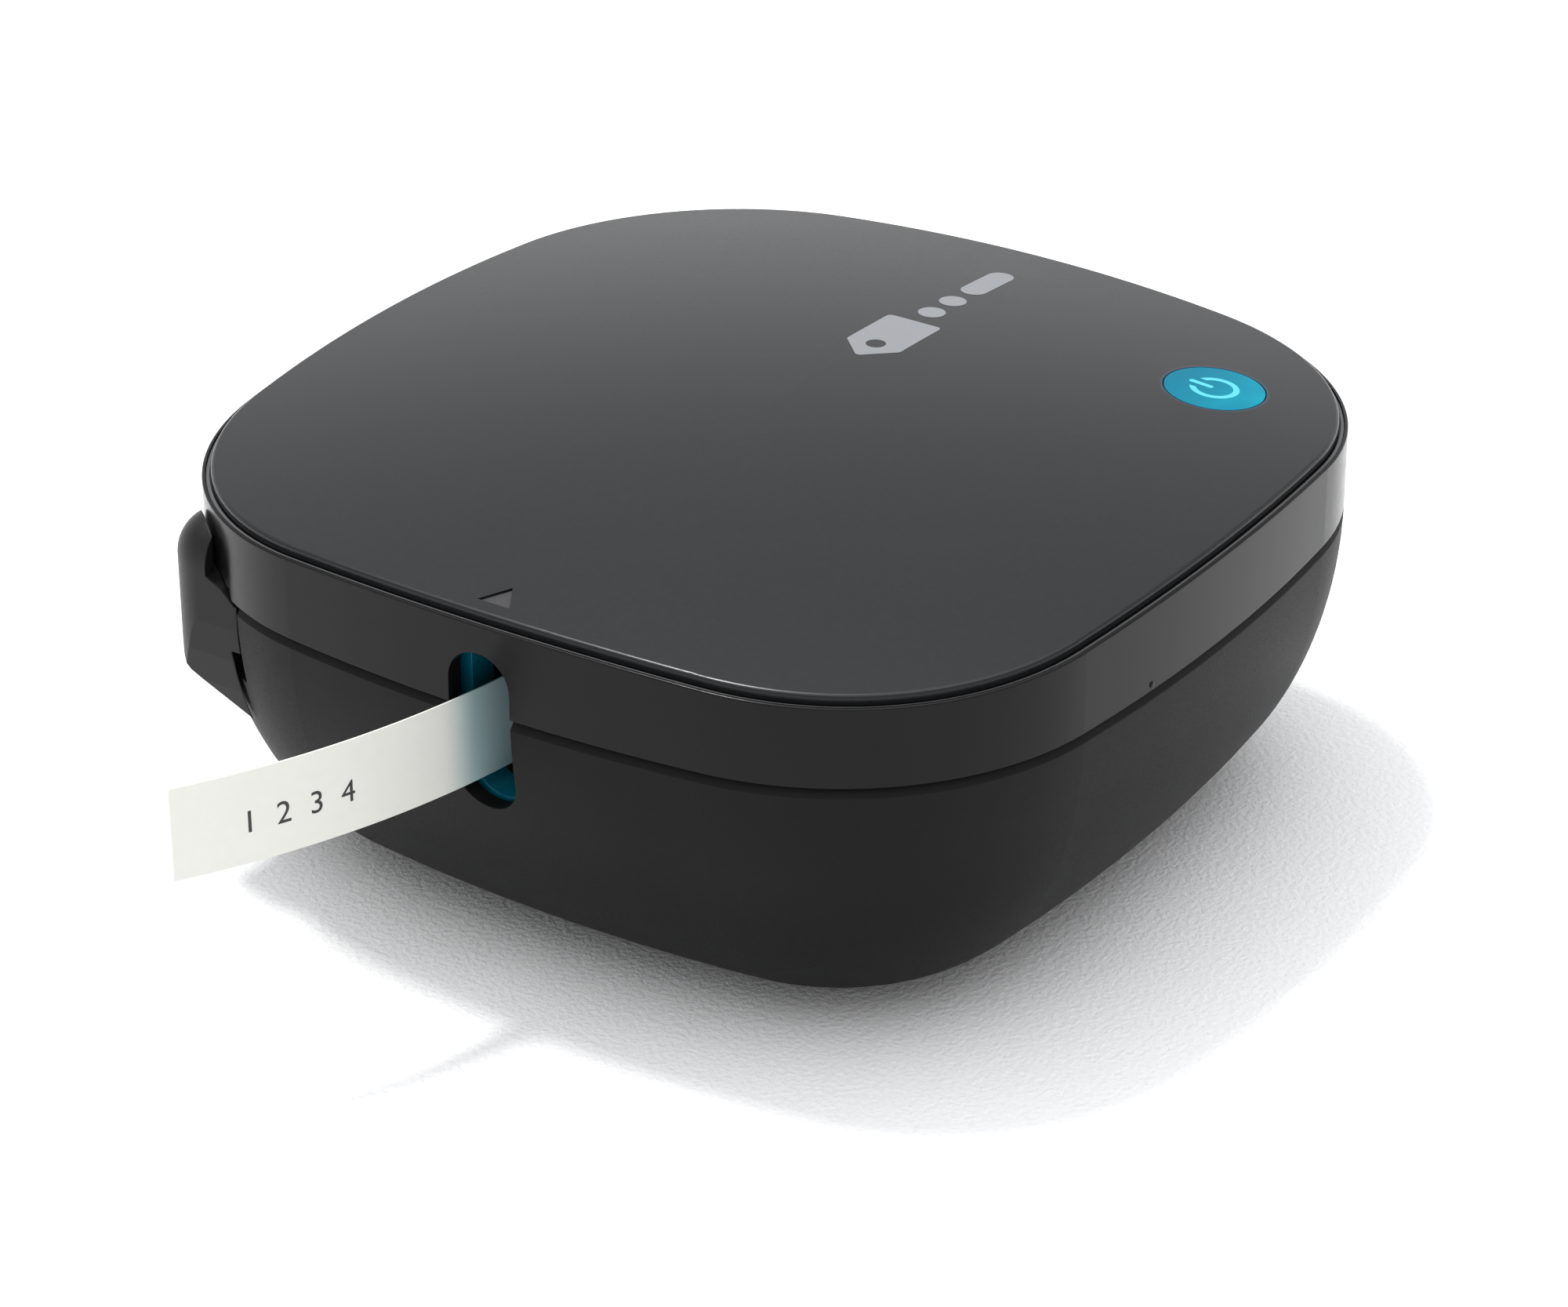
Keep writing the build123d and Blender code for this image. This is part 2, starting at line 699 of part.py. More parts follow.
with BuildPart() as platen_bracket:
    bracket_y = platen_y + platen_radius + 0.8
    add(box((platen_x - 4.5, bracket_y, plate_top_z), (platen_x + 4.5, bracket_y + 1.0, bracket_z + 1.0)))
    add(box((platen_x - 4.5, tape_y + 1.1, bracket_z), (platen_x + 4.5, bracket_y + 1.0, bracket_z + 1.0)))
    add(box((platen_x - 4.5, bracket_y, plate_top_z), (platen_x + 4.5, bracket_y + 6.0, plate_top_z + 1.0)))
    bore = rod(platen_x, platen_y, bracket_z - 1, bracket_z + 2, platen_shaft_radius + running_gap)
    add(bore, mode=Mode.SUBTRACT)
save(platen_bracket, "platen_bracket")

# ---- print head ------------------------------------------------------------------------------------
head_front_y = tape_y - tape_thickness / 2 - 0.1

with BuildPart() as print_head:
    add(box((platen_x - 4, head_front_y - 1.5, platen_low_z), (platen_x + 4, head_front_y - 0.3, platen_high_z)))
    # the raised heater line
    with BuildSketch(Plane.XY.offset(tape_centre_z - tape_width / 2)):
        with BuildLine():
            RadiusArc((platen_x + 1.2, head_front_y - 0.3), (platen_x - 1.2, head_front_y - 0.3), -2.55)
            Line((platen_x - 1.2, head_front_y - 0.3), (platen_x + 1.2, head_front_y - 0.3))
        make_face()
    extrude(amount=tape_width)
save(print_head, "print_head")

with BuildPart() as head_heatsink:
    back_y = head_front_y - 1.5
    add(box((platen_x - 5, back_y - 3.4, plate_top_z), (platen_x + 5, back_y, platen_high_z + 1.2)))
    add(box((platen_x - 5, back_y - 7.0, plate_top_z), (platen_x + 5, back_y, plate_top_z + 1.2)))
    with BuildSketch(Plane.XY.offset(plate_top_z + 2.4)):
        with Locations((platen_x, back_y - 3.4)):
            with GridLocations(2.0, 0, 4, 1):
                Rectangle(1.0, 4.0)
    extrude(amount=platen_high_z, mode=Mode.SUBTRACT)
save(head_heatsink, "head_heatsink")

# ---- cutter ----------------------------------------------------------------------------------------


def tape_side(x):
    """The tape's mid-line at a place along the chute."""
    turn = asin(max(0.0, tape_bend_x - x) / tape_bend_radius)
    return tape_y + tape_bend_radius * (1 - cos(turn))


anvil_x = blade_x + blade_thickness / 2 + 0.1
anvil_edge_y = tape_side(anvil_x + 0.5) - tape_thickness / 2 - 0.25

with BuildPart() as cutter_anvil:
    add(box((anvil_x, anvil_edge_y - 5.5, tray_top_z), (anvil_x + 1.0, anvil_edge_y, tape_centre_z + 8)))
    add(box((anvil_x, anvil_edge_y - 5.5, tray_top_z), (anvil_x + 2.4, anvil_edge_y - 4.0, tape_centre_z + 8)))
save(cutter_anvil, "cutter_anvil")

with BuildPart() as cutter_blade:
    with BuildSketch(Plane.YZ.offset(blade_x - blade_thickness / 2)):
        with BuildLine():
            Polyline(
                (blade_edge_y, tape_centre_z - 7.2),
                (carrier_front_y + 4.0, tape_centre_z - 7.2),
                (carrier_front_y + 4.0, tape_centre_z + 7.4),
                (blade_edge_y + 2.0, tape_centre_z + 7.4),
                close=True,
            )
        make_face()
    extrude(amount=blade_thickness)
save(cutter_blade, "cutter_blade")

with BuildPart() as blade_carrier:
    # the back end is a 45 degree wedge that the key's nose pushes down on
    with BuildSketch(Plane.YZ.offset(blade_x - carrier_half_x)):
        with BuildLine():
            Polyline(
                (carrier_front_y, carrier_low_z),
                (carrier_back_y, carrier_low_z),
                (carrier_back_y - carrier_high_z + carrier_low_z, carrier_high_z),
                (carrier_front_y, carrier_high_z),
                close=True,
            )
        make_face()
    extrude(amount=2 * carrier_half_x)
    head_low = (blade_x - carrier_half_x, carrier_front_y, tape_centre_z - 7.2)
    add(box(head_low, (blade_x + carrier_half_x, carrier_front_y + 5, tape_centre_z + 7.4)))
    add(cutter_blade.part, mode=Mode.SUBTRACT)
save(blade_carrier, "blade_carrier")

with BuildPart() as cutter_lever:
    add(lever_block())
    # outside the cover above the neck, and outside the bowl below it
    add(prism(-lever_gap, lever_neck_high_z, lever_top_z + 1), mode=Mode.SUBTRACT)
    below_neck = box((-far, 0, 0), (0, far, lever_neck_low_z))
    add(key_clearance & below_neck, mode=Mode.SUBTRACT)
    # front of the neck, eased under the arch
    with BuildSketch(Plane.YZ.offset(-far)):
        with BuildLine():
            Polyline(
                (lever_front_y - 1, lever_neck_high_z - 3.0),
                (lever_front_y + 0.3, lever_neck_high_z - 3.0),
                (lever_front_y + 2.2, lever_neck_high_z - 1.2),
                (lever_front_y + 4.6, lever_neck_high_z),
                (lever_front_y + 4.6, lever_top_z + 1),
                (lever_front_y - 1, lever_top_z + 1),
                close=True,
            )
        make_face()
    extrude(amount=far, mode=Mode.SUBTRACT)
    # nose with the mating wedge, on the carrier's inner half
    with BuildSketch(Plane.YZ.offset(blade_x)):
        with BuildLine():
            wedge = carrier_back_y + carrier_low_z + wedge_gap * sqrt(2)
            Polyline(
                (lever_front_y + 1, wedge - lever_front_y),
                (lever_front_y, wedge - lever_front_y),
                (nose_y, wedge - nose_y),
                (nose_y, nose_top_z),
                (lever_front_y + 1, nose_top_z),
                close=True,
            )
        make_face()
    extrude(amount=carrier_half_x)
    # arm back to the pin
    add(box((arm_low_x, pivot_y, arm_low_z), (arm_low_x + arm_width, lever_front_y + 3, arm_high_z)))
    with BuildSketch(Plane.YZ.offset(arm_low_x)):
        with Locations((pivot_y, pivot_z)):
            Circle(pivot_boss_radius)
    extrude(amount=arm_width)
    with BuildSketch(Plane.YZ.offset(arm_low_x - 1)):
        with Locations((pivot_y, pivot_z)):
            Circle(pivot_radius + running_gap)
    extrude(amount=arm_width + 2, mode=Mode.SUBTRACT)
save(cutter_lever, "cutter_lever")

with BuildPart() as lever_pivot_pin:
    with BuildSketch(Plane.YZ.offset(arm_low_x - 1.6)):
        with Locations((pivot_y, pivot_z)):
            Circle(pivot_radius)
    extrude(amount=arm_width + 3.2)
save(lever_pivot_pin, "lever_pivot_pin")

with BuildPart() as lever_return_spring:
    add(rod(arm_low_x + arm_width / 2, spring_y, tray_top_z, arm_low_z - 0.05, 2.0, 1.4))
save(lever_return_spring, "lever_return_spring")

# ---- circuit board ---------------------------------------------------------------------------------
board_top_z = board_z + board_thickness

with BuildPart() as main_board:
    add(prism(board_inset, board_z, board_top_z) & box((board_low_x, -far, 0), (far, far, 99)))
    for post in board_posts:
        add(rod(*post, board_z - 1, board_top_z + 1, 1.1), mode=Mode.SUBTRACT)
save(main_board, "main_board")

with BuildPart() as board_screws:
    for post in board_posts:
        add(rod(*post, board_z - 7, board_top_z, 0.9))
        with BuildSketch(Plane.XY.offset(board_top_z)):
            with Locations(post):
                Circle(1.9)
                Rectangle(2.2, 0.5, mode=Mode.SUBTRACT)
        extrude(amount=1.2)
save(board_screws, "board_screws")

with BuildPart() as radio_module:
    radio_x = board_low_x + 5.5
    add(box((radio_x, 8, board_top_z), (radio_x + 16, 20, board_top_z + 0.8)))
    add(box((radio_x + 0.8, 10, board_top_z + 0.8), (radio_x + 15.2, 19.2, board_top_z + 2.8)))
save(radio_module, "radio_module")

with BuildPart() as driver_chips:
    for from_edge, low_y, length, width in ((4.5, -8, 8, 8), (15.5, -10, 6, 8), (7.5, -22, 6, 5)):
        low_x = board_low_x + from_edge
        add(box((low_x, low_y, board_top_z), (low_x + length, low_y + width, board_top_z + 1.4)))
save(driver_chips, "driver_chips")

with BuildPart() as storage_capacitors:
    for spot in ((board_low_x + 7.5, half_depth - 29.2), (board_low_x + 14.5, half_depth - 30.2)):
        add(rod(*spot, board_top_z, board_top_z + 6.5, 2.5))
save(storage_capacitors, "storage_capacitors")

with BuildPart() as power_switch:
    corner = (button_x - 3, button_y - 3, board_top_z)
    add(box(corner, (button_x + 3, button_y + 3, board_top_z + switch_height - 0.6)))
    add(rod(button_x, button_y, board_top_z + switch_height - 0.6, board_top_z + switch_height, 1.7))
save(power_switch, "power_switch")

# ---- cassette --------------------------------------------------------------------------------------
cassette_mid_x = (cassette_low_x + cassette_high_x) / 2
cassette_length = cassette_high_x - cassette_low_x
cassette_top_z = cassette_low_z + cassette_height
lid_low_z = cassette_top_z - cassette_lid_thickness
cavity_low_z = cassette_low_z + cassette_wall
tape_low_z = tape_centre_z - tape_width / 2

with BuildPart() as cassette_base:
    with BuildSketch(Plane.XY.offset(cassette_low_z)):
        with Locations((cassette_mid_x, 0)):
            RectangleRounded(cassette_length, 2 * cassette_half_y, cassette_corner)
    extrude(amount=lid_low_z - cassette_low_z)
    with BuildSketch(Plane.XY.offset(cavity_low_z)):
        with Locations((cassette_mid_x, 0)):
            RectangleRounded(
                cassette_length - 2 * cassette_wall,
                2 * (cassette_half_y - cassette_wall),
                cassette_corner - cassette_wall,
            )
    extrude(amount=cassette_height, mode=Mode.SUBTRACT)
    add(rod(roll_x, roll_y, cassette_low_z, lid_low_z, spindle_radius))
    add(rod(guide_x, guide_y, cassette_low_z, lid_low_z, 1.2))
    # mouth for the tape
    mouth = box(
        (cassette_low_x - 1, tape_y - 1.5, cavity_low_z),
        (cassette_low_x + cassette_wall + 1, tape_y + 1.5, lid_low_z + 1),
    )
    add(mouth, mode=Mode.SUBTRACT)
save(cassette_base, "cassette_base")

with BuildPart() as cassette_lid:
    with BuildSketch(Plane.XY.offset(lid_low_z)):
        with Locations((cassette_mid_x, 0)):
            RectangleRounded(cassette_length, 2 * cassette_half_y, cassette_corner)
        # window on the roll
        with Locations((roll_x, roll_y)):
            with BuildLine():
                CenterArc((0, 0), 13.0, 25, 130)
                CenterArc((0, 0), 8.0, 25, 130)
                Line((13 * cos(radians(25)), 13 * sin(radians(25))), (8 * cos(radians(25)), 8 * sin(radians(25))))
                Line((-13 * cos(radians(25)), 13 * sin(radians(25))), (-8 * cos(radians(25)), 8 * sin(radians(25))))
            make_face(mode=Mode.SUBTRACT)
    extrude(amount=cassette_lid_thickness)
save(cassette_lid, "cassette_lid")

with BuildPart() as tape_spool:
    add(rod(roll_x, roll_y, cavity_low_z + 0.2, lid_low_z - 0.2, hub_radius, spindle_radius + running_gap))
save(tape_spool, "tape_spool")

with BuildPart() as tape_roll:
    add(rod(roll_x, roll_y, tape_low_z, tape_low_z + tape_width, roll_radius, hub_radius))
save(tape_roll, "tape_roll")

with BuildPart() as guide_roller:
    add(rod(guide_x, guide_y, cavity_low_z + 0.2, lid_low_z - 0.2, guide_radius, 1.2 + running_gap))
save(guide_roller, "guide_roller")

end_turn = degrees(asin((tape_bend_x - tape_end_x) / tape_bend_radius))

with BuildPart() as label_tape:
    with BuildSketch(Plane.XY.offset(tape_low_z)):
        with BuildLine():
            straight = Line((cassette_low_x + cassette_wall, tape_y), (tape_bend_x, tape_y))
            CenterArc((tape_bend_x, tape_y + tape_bend_radius), tape_bend_radius, -90, -end_turn)
            offset(amount=tape_thickness / 2, kind=Kind.INTERSECTION)
        make_face()
    extrude(amount=tape_width)
save(label_tape, "label_tape")

# ---- cover -----------------------------------------------------------------------------------------
lip_dome = dome(-lip_drop)
top_dome = dome(0.0)
deck_low_z = deck_top_z - deck_thickness
cover_low_z = part_line_z + part_gap


def emblem_sketch(height):
    """A row of plain shapes: a luggage tag with its hole, two dots and a bar."""
    with BuildSketch(Plane.XY.offset(height), mode=Mode.PRIVATE) as sketch:
        half_h = emblem_height / 2
        left = emblem_x - emblem_length / 2
        with BuildLine():
            Polyline(
                (left, emblem_y),
                (left + half_h, emblem_y + half_h),
                (left + 14, emblem_y + half_h),
                (left + 14, emblem_y - half_h),
                (left + half_h, emblem_y - half_h),
                close=True,
            )
        make_face()
        fillet(vertices(), 0.7)
        with Locations((left + half_h + 0.6, emblem_y)):
            Circle(1.3, mode=Mode.SUBTRACT)
        with Locations((left + 17.9, emblem_y), (left + 23.0, emblem_y)):
            Circle(1.8)
        with Locations((emblem_x + emblem_length / 2 - 5, emblem_y)):
            SlotOverall(10.0, 3.6)
    return sketch.sketch


def mark_sketch(height):
    """The small triangle above the slot, pointing inwards."""
    with BuildSketch(Plane.XY.offset(height), mode=Mode.PRIVATE) as sketch:
        with BuildLine():
            Polyline(
                (mark_x, -mark_width / 2),
                (mark_x, mark_width / 2),
                (mark_x + mark_length, 0),
                close=True,
            )
        make_face()
    return sketch.sketch


def top_layer(sketch, depth):
    """A column over a sketch, from a depth under the crowned top upwards."""
    with BuildPart(mode=Mode.PRIVATE) as column:
        extrude(sketch, amount=dome_apex_z - deck_top_z + 1)
        add(dome(-depth), mode=Mode.SUBTRACT)
    return column.part


emblem_layer = top_layer(emblem_sketch(deck_top_z), print_depth)
mark_layer = top_layer(mark_sketch(deck_top_z), mark_recess + print_depth)

with BuildPart() as upper_housing:
    add(prism(0.0, cover_low_z, dome_apex_z))
    add(lip_dome, mode=Mode.INTERSECT)
    shoulder = upper_housing.faces().sort_by(Axis.Z)[-1].edges()
    fillet(shoulder, lip_round)
    # recess for the panel and its bead
    add(prism(lip_width, deck_top_z, dome_apex_z + 1), mode=Mode.SUBTRACT)
    add(prism(wall, cover_low_z, deck_low_z), mode=Mode.SUBTRACT)
    # skirt that drops inside the lower shell, on a flange from the wall
    add(prism(wall + fit_gap, part_line_z - skirt_depth, cover_low_z + skirt_flange_z))
    add(prism(wall - 0.5, cover_low_z + skirt_flange_z - 1.2, cover_low_z + skirt_flange_z))
    add(prism(wall + fit_gap + skirt_width, part_line_z - skirt_depth, deck_low_z), mode=Mode.SUBTRACT)
    # tape slot, lever window and button hole
    add(slot_tool, mode=Mode.SUBTRACT)
    chute_room = box(
        (-far, -chute_half_y - loose_gap, 0),
        (chute_back_x + 4, chute_half_y + loose_gap, deck_low_z),
    )
    add(prism(wall, 0, deck_low_z) & chute_room, mode=Mode.SUBTRACT)
    add(window_tool, mode=Mode.SUBTRACT)
    add(rod(button_x, button_y, deck_low_z - 1, deck_top_z + 1, 4.2), mode=Mode.SUBTRACT)
save(upper_housing, "upper_housing")

with BuildPart() as trim_ring:
    with BuildSketch(Plane.XY.offset(deck_top_z)):
        add(plan(bead_inset))
        add(plan(bead_inset + bead_width), mode=Mode.SUBTRACT)
    extrude(amount=dome_apex_z - deck_top_z)
    add(dome(-lip_drop - 0.25), mode=Mode.INTERSECT)
save(trim_ring, "trim_ring")

with BuildPart() as top_panel:
    add(prism(panel_inset, deck_top_z, dome_apex_z + 1))
    add(top_dome, mode=Mode.INTERSECT)
    rim = top_panel.faces().sort_by(Axis.Z)[-1].edges().filter_by(lambda e: e.center().length > dome_apex_z + 20)
    fillet(rim, panel_edge_round)
    hollow = prism(panel_inset + panel_rim, deck_top_z, dome_apex_z) & dome(-panel_thickness)
    add(hollow - rod(button_x, button_y, 0, dome_apex_z, button_radius + 2.5), mode=Mode.SUBTRACT)
    add(rod(button_x, button_y, deck_top_z - 1, dome_apex_z + 1, button_radius + bezel_width), mode=Mode.SUBTRACT)
    add(emblem_layer, mode=Mode.SUBTRACT)
    add(mark_layer, mode=Mode.SUBTRACT)
save(top_panel, "top_panel")

with BuildPart() as emblem:
    add(emblem_layer)
    add(dome(print_lift), mode=Mode.INTERSECT)
save(emblem, "emblem")

with BuildPart() as slot_mark:
    add(mark_layer)
    add(dome(-mark_recess), mode=Mode.INTERSECT)
save(slot_mark, "slot_mark")

with BuildPart() as button_bezel:
    bezel_outer = button_radius + bezel_width
    add(rod(button_x, button_y, deck_top_z, dome_apex_z, bezel_outer, button_radius + fit_gap))
    add(top_dome, mode=Mode.INTERSECT)
save(button_bezel, "button_bezel")

symbol_radius = 2.75
symbol_stroke = 0.8


def symbol_sketch(height):
    """The standby symbol: an open ring and a stem, opening towards the back."""
    with BuildSketch(Plane.XY.offset(height), mode=Mode.PRIVATE) as sketch:
        with Locations((button_x, button_y)):
            Circle(symbol_radius + symbol_stroke / 2)
            Circle(symbol_radius - symbol_stroke / 2, mode=Mode.SUBTRACT)
        with Locations((button_x, button_y + symbol_radius)):
            Rectangle(2.7, 2.2, mode=Mode.SUBTRACT)
        with Locations((button_x, button_y + symbol_radius * 0.7)):
            SlotOverall(3.4, symbol_stroke, rotation=90)
    return sketch.sketch


symbol_layer = top_layer(symbol_sketch(deck_top_z), print_depth)
stem_low_z = board_top_z + switch_height + button_travel + 0.1

with BuildPart() as power_button:
    add(rod(button_x, button_y, deck_top_z + button_travel + 0.15, dome_apex_z, button_radius))
    add(top_dome, mode=Mode.INTERSECT)
    add(rod(button_x, button_y, stem_low_z, deck_top_z + button_travel + 0.2, 2.4))
    add(symbol_layer, mode=Mode.SUBTRACT)
save(power_button, "power_button")

with BuildPart() as power_symbol:
    add(symbol_layer)
    add(dome(print_lift), mode=Mode.INTERSECT)
save(power_symbol, "power_symbol")

with BuildPart() as button_spring:
    add(rod(button_x, button_y, deck_top_z, deck_top_z + button_travel + 0.1, 5.6, 4.6))
save(button_spring, "button_spring")
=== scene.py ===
import math

import bpy
import bmesh
from mathutils import Matrix, Vector


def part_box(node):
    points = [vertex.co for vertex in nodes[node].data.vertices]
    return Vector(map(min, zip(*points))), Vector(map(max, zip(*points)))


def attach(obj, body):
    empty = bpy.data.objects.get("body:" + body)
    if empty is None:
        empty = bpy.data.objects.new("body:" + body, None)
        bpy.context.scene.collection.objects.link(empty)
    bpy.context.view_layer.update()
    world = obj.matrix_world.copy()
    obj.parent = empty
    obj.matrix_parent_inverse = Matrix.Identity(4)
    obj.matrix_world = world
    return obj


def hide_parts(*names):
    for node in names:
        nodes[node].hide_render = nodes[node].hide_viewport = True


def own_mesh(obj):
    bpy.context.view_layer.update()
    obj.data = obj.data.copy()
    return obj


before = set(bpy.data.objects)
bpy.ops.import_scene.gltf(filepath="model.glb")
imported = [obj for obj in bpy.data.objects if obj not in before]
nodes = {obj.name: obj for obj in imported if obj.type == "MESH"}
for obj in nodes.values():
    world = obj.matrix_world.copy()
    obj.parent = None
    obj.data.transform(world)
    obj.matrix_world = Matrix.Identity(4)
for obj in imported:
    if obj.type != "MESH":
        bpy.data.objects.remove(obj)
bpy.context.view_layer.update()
MM = 0.001
drift_mm = 18.0  # size of the slow colour drift in moulded parts

# Label maker: a lift-off cover with a crowned top panel, a bowl-shaped lower shell with a cutter lever at
# one corner, and a label tape leaving through a slot. Metres, +X right, +Y back, +Z up.

# ---- node and colour helpers -----------------------------------------------------------------------


def linear(hex_colour):
    """An sRGB hex colour as linear RGBA."""
    parts = [int(hex_colour[i:i + 2], 16) / 255 for i in (1, 3, 5)]
    return tuple(c / 12.92 if c <= 0.04045 else ((c + 0.055) / 1.055) ** 2.4 for c in parts) + (1.0,)


def feed(tree, node, inputs):
    """Gives a node's inputs, by name or number, another node's output or a plain value."""
    for socket, source in inputs.items():
        if isinstance(source, bpy.types.NodeSocket):
            tree.links.new(source, node.inputs[socket])
        else:
            node.inputs[socket].default_value = source


def add_node(tree, kind, inputs=None, **settings):
    """Adds a node with its settings and feeds its inputs."""
    made = tree.nodes.new(kind)
    for name, value in settings.items():
        setattr(made, name, value)
    feed(tree, made, inputs or {})
    return made


def new_material(name):
    """A material with an empty tree, its output and a Principled shader."""
    material = bpy.data.materials.new(name)
    material.use_nodes = True
    tree = material.node_tree
    tree.nodes.clear()
    shader = add_node(tree, "ShaderNodeBsdfPrincipled")
    add_node(tree, "ShaderNodeOutputMaterial", {"Surface": shader.outputs[0]})
    return material, tree, shader


def per_metre(size_mm):
    """Noise scale that gives blobs of about this size."""
    return 1 / (size_mm * MM)


def moulded(name, colour, other, rough, grain_mm, grain_depth_mm, ior=1.53, spread=0.04, edge_mm=0.0,
            shine=0.5):
    """Injection-moulded plastic or rubber: two near colours that drift slowly, with a fine tool texture."""
    material, tree, shader = new_material(name)
    place = add_node(tree, "ShaderNodeTexCoord").outputs["Object"]
    drift = add_node(tree, "ShaderNodeTexNoise", {
        "Vector": place, "Scale": per_metre(drift_mm), "Detail": 3.0})
    grain = add_node(tree, "ShaderNodeTexNoise", {
        "Vector": place, "Scale": per_metre(grain_mm), "Detail": 2.0})
    tint = add_node(tree, "ShaderNodeMix", {0: drift.outputs[0], 6: linear(colour), 7: linear(other)},
                    data_type="RGBA")
    gloss = add_node(tree, "ShaderNodeMapRange", {
        0: grain.outputs[0], 1: 0.3, 2: 0.7, 3: rough - spread, 4: rough + spread})
    bump_links = {"Height": grain.outputs[0], "Distance": grain_depth_mm * MM, "Strength": 0.6}
    if edge_mm:
        worn = add_node(tree, "ShaderNodeBevel", {"Radius": edge_mm * MM}, samples=6)
        bump_links["Normal"] = worn.outputs[0]
    bump = add_node(tree, "ShaderNodeBump", bump_links)
    feed(tree, shader, {
        "Base Color": tint.outputs[2], "Roughness": gloss.outputs[0],
        "Normal": bump.outputs[0], "IOR": ior, "Specular IOR Level": shine})
    return material


def worked_metal(name, colour, other, rough, line_mm, stretch, depth_mm=0.004):
    """Metal with the marks of its making: a noise stretched along the way it was rolled, drawn or ground."""
    material, tree, shader = new_material(name)
    place = add_node(tree, "ShaderNodeTexCoord").outputs["Object"]
    along = add_node(tree, "ShaderNodeMapping", {"Vector": place, "Scale": stretch})
    lines = add_node(tree, "ShaderNodeTexNoise", {
        "Vector": along.outputs[0], "Scale": per_metre(line_mm), "Detail": 3.0})
    tint = add_node(tree, "ShaderNodeMix", {0: lines.outputs[0], 6: linear(colour), 7: linear(other)},
                    data_type="RGBA")
    gloss = add_node(tree, "ShaderNodeMapRange", {
        0: lines.outputs[0], 1: 0.25, 2: 0.75, 3: rough - 0.08, 4: rough + 0.08})
    bump = add_node(tree, "ShaderNodeBump", {
        "Height": lines.outputs[0], "Distance": depth_mm * MM, "Strength": 0.5})
    feed(tree, shader, {
        "Base Color": tint.outputs[2], "Roughness": gloss.outputs[0],
        "Normal": bump.outputs[0], "Metallic": 1.0})
    return material


# ---- finishes --------------------------------------------------------------------------------------

# Lower shell: ABS moulded in a spark-eroded tool. The eye gets a soft, dry black with a faint sparkle of
# grain. The tool's grain is about 0.1 mm and is drawn at 0.3 mm, so that it shows.
spark_eroded_abs = moulded("spark_eroded_abs", "#0c0c0c", "#131312", 0.5, 0.3, 0.012, edge_mm=0.2,
                          shine=0.1)

# Cutter lever: the same ABS in a slightly finer tool, a little smoother where fingers rub it.
rubbed_abs = moulded("rubbed_abs", "#141414", "#181818", 0.42, 0.3, 0.008, edge_mm=0.25, shine=0.18)

# Cover band: ABS from a polished tool. The eye gets a deep black with soft but clear reflections.
polished_abs = moulded("polished_abs", "#0a0a0b", "#0f0f10", 0.2, 1.4, 0.0005, spread=0.02, edge_mm=0.12,
                      shine=0.14)

# Top panel: polycarbonate with a satin film on its back, so an even charcoal with a smooth sheen.
satin_polycarbonate = moulded("satin_polycarbonate", "#131415", "#151617", 0.26, 0.9, 0.0001, ior=1.58,
                              spread=0.015, shine=0.23)

# Bead: a thin thermoplastic rubber line in the groove, dull dark grey.
bead_elastomer = moulded("bead_elastomer", "#3c3c3d", "#464647", 0.45, 0.3, 0.004, ior=1.5)

# Foot: silicone rubber, dull and slightly dusty.
silicone_foot = moulded("silicone_foot", "#1d1d1d", "#262625", 0.75, 0.5, 0.01, ior=1.42)

# Chassis: teal polypropylene compound with a satin tool finish.
teal_moulding = moulded("teal_moulding", "#00586c", "#006579", 0.3, 0.6, 0.004, ior=1.5, edge_mm=0.15)

# Gears: natural acetal, waxy off-white, fairly smooth.
natural_acetal = moulded("natural_acetal", "#e6e2d6", "#dcd7c9", 0.38, 0.8, 0.003, ior=1.48, edge_mm=0.08)

# Carrier: the same acetal, glass filled, so greyer and duller.
filled_acetal = moulded("filled_acetal", "#c9c8c2", "#bfbeb8", 0.5, 0.4, 0.006, ior=1.48, edge_mm=0.1)

# Platen: ground nitrile rubber, very dark with a velvety surface.
ground_nitrile = moulded("ground_nitrile", "#222224", "#2c2c2e", 0.7, 0.25, 0.01, ior=1.52)

# Print head: alumina under a glassy overcoat, cream and shiny.
glazed_alumina = moulded("glazed_alumina", "#dcd3bd", "#d3c9b1", 0.22, 1.0, 0.002, ior=1.76)

# Cassette: recycled polystyrene, plain mid grey with a satin face.
satin_polystyrene = moulded("satin_polystyrene", "#a3a5a8", "#9a9c9f", 0.36, 0.7, 0.004, ior=1.59,
                            edge_mm=0.2)

# Chips and switch: moulded epoxy, nearly black, matt from the mould.
moulded_epoxy = moulded("moulded_epoxy", "#1b1b1d", "#232325", 0.55, 0.25, 0.006, ior=1.55, edge_mm=0.08)

# Emblem: pad-printed polyurethane ink, grey, dry and even.
pad_print_grey = moulded("pad_print_grey", "#737578", "#6f7174", 0.42, 0.3, 0.002, ior=1.5)

# Symbol: pale cyan ink on the lens, slightly glossy.
pad_print_cyan = moulded("pad_print_cyan", "#42a8b6", "#48aebb", 0.3, 0.4, 0.001, ior=1.5, shine=0.2)

# Slot mark: the panel's own plastic, left with a coarse etched texture inside the recess.
etched_mark = moulded("etched_mark", "#2a2a2b", "#383839", 0.6, 0.3, 0.03, ior=1.58, shine=0.2)

# Ring round the button: glossy navy acrylic.
navy_acrylic = moulded("navy_acrylic", "#04162a", "#061b33", 0.12, 1.0, 0.001, ior=1.49, spread=0.02)

# Print on the tape: thermal-transfer ink, flat black.
transfer_ink = moulded("transfer_ink", "#1f1f20", "#2a2a2b", 0.6, 0.2, 0.001, ior=1.5)

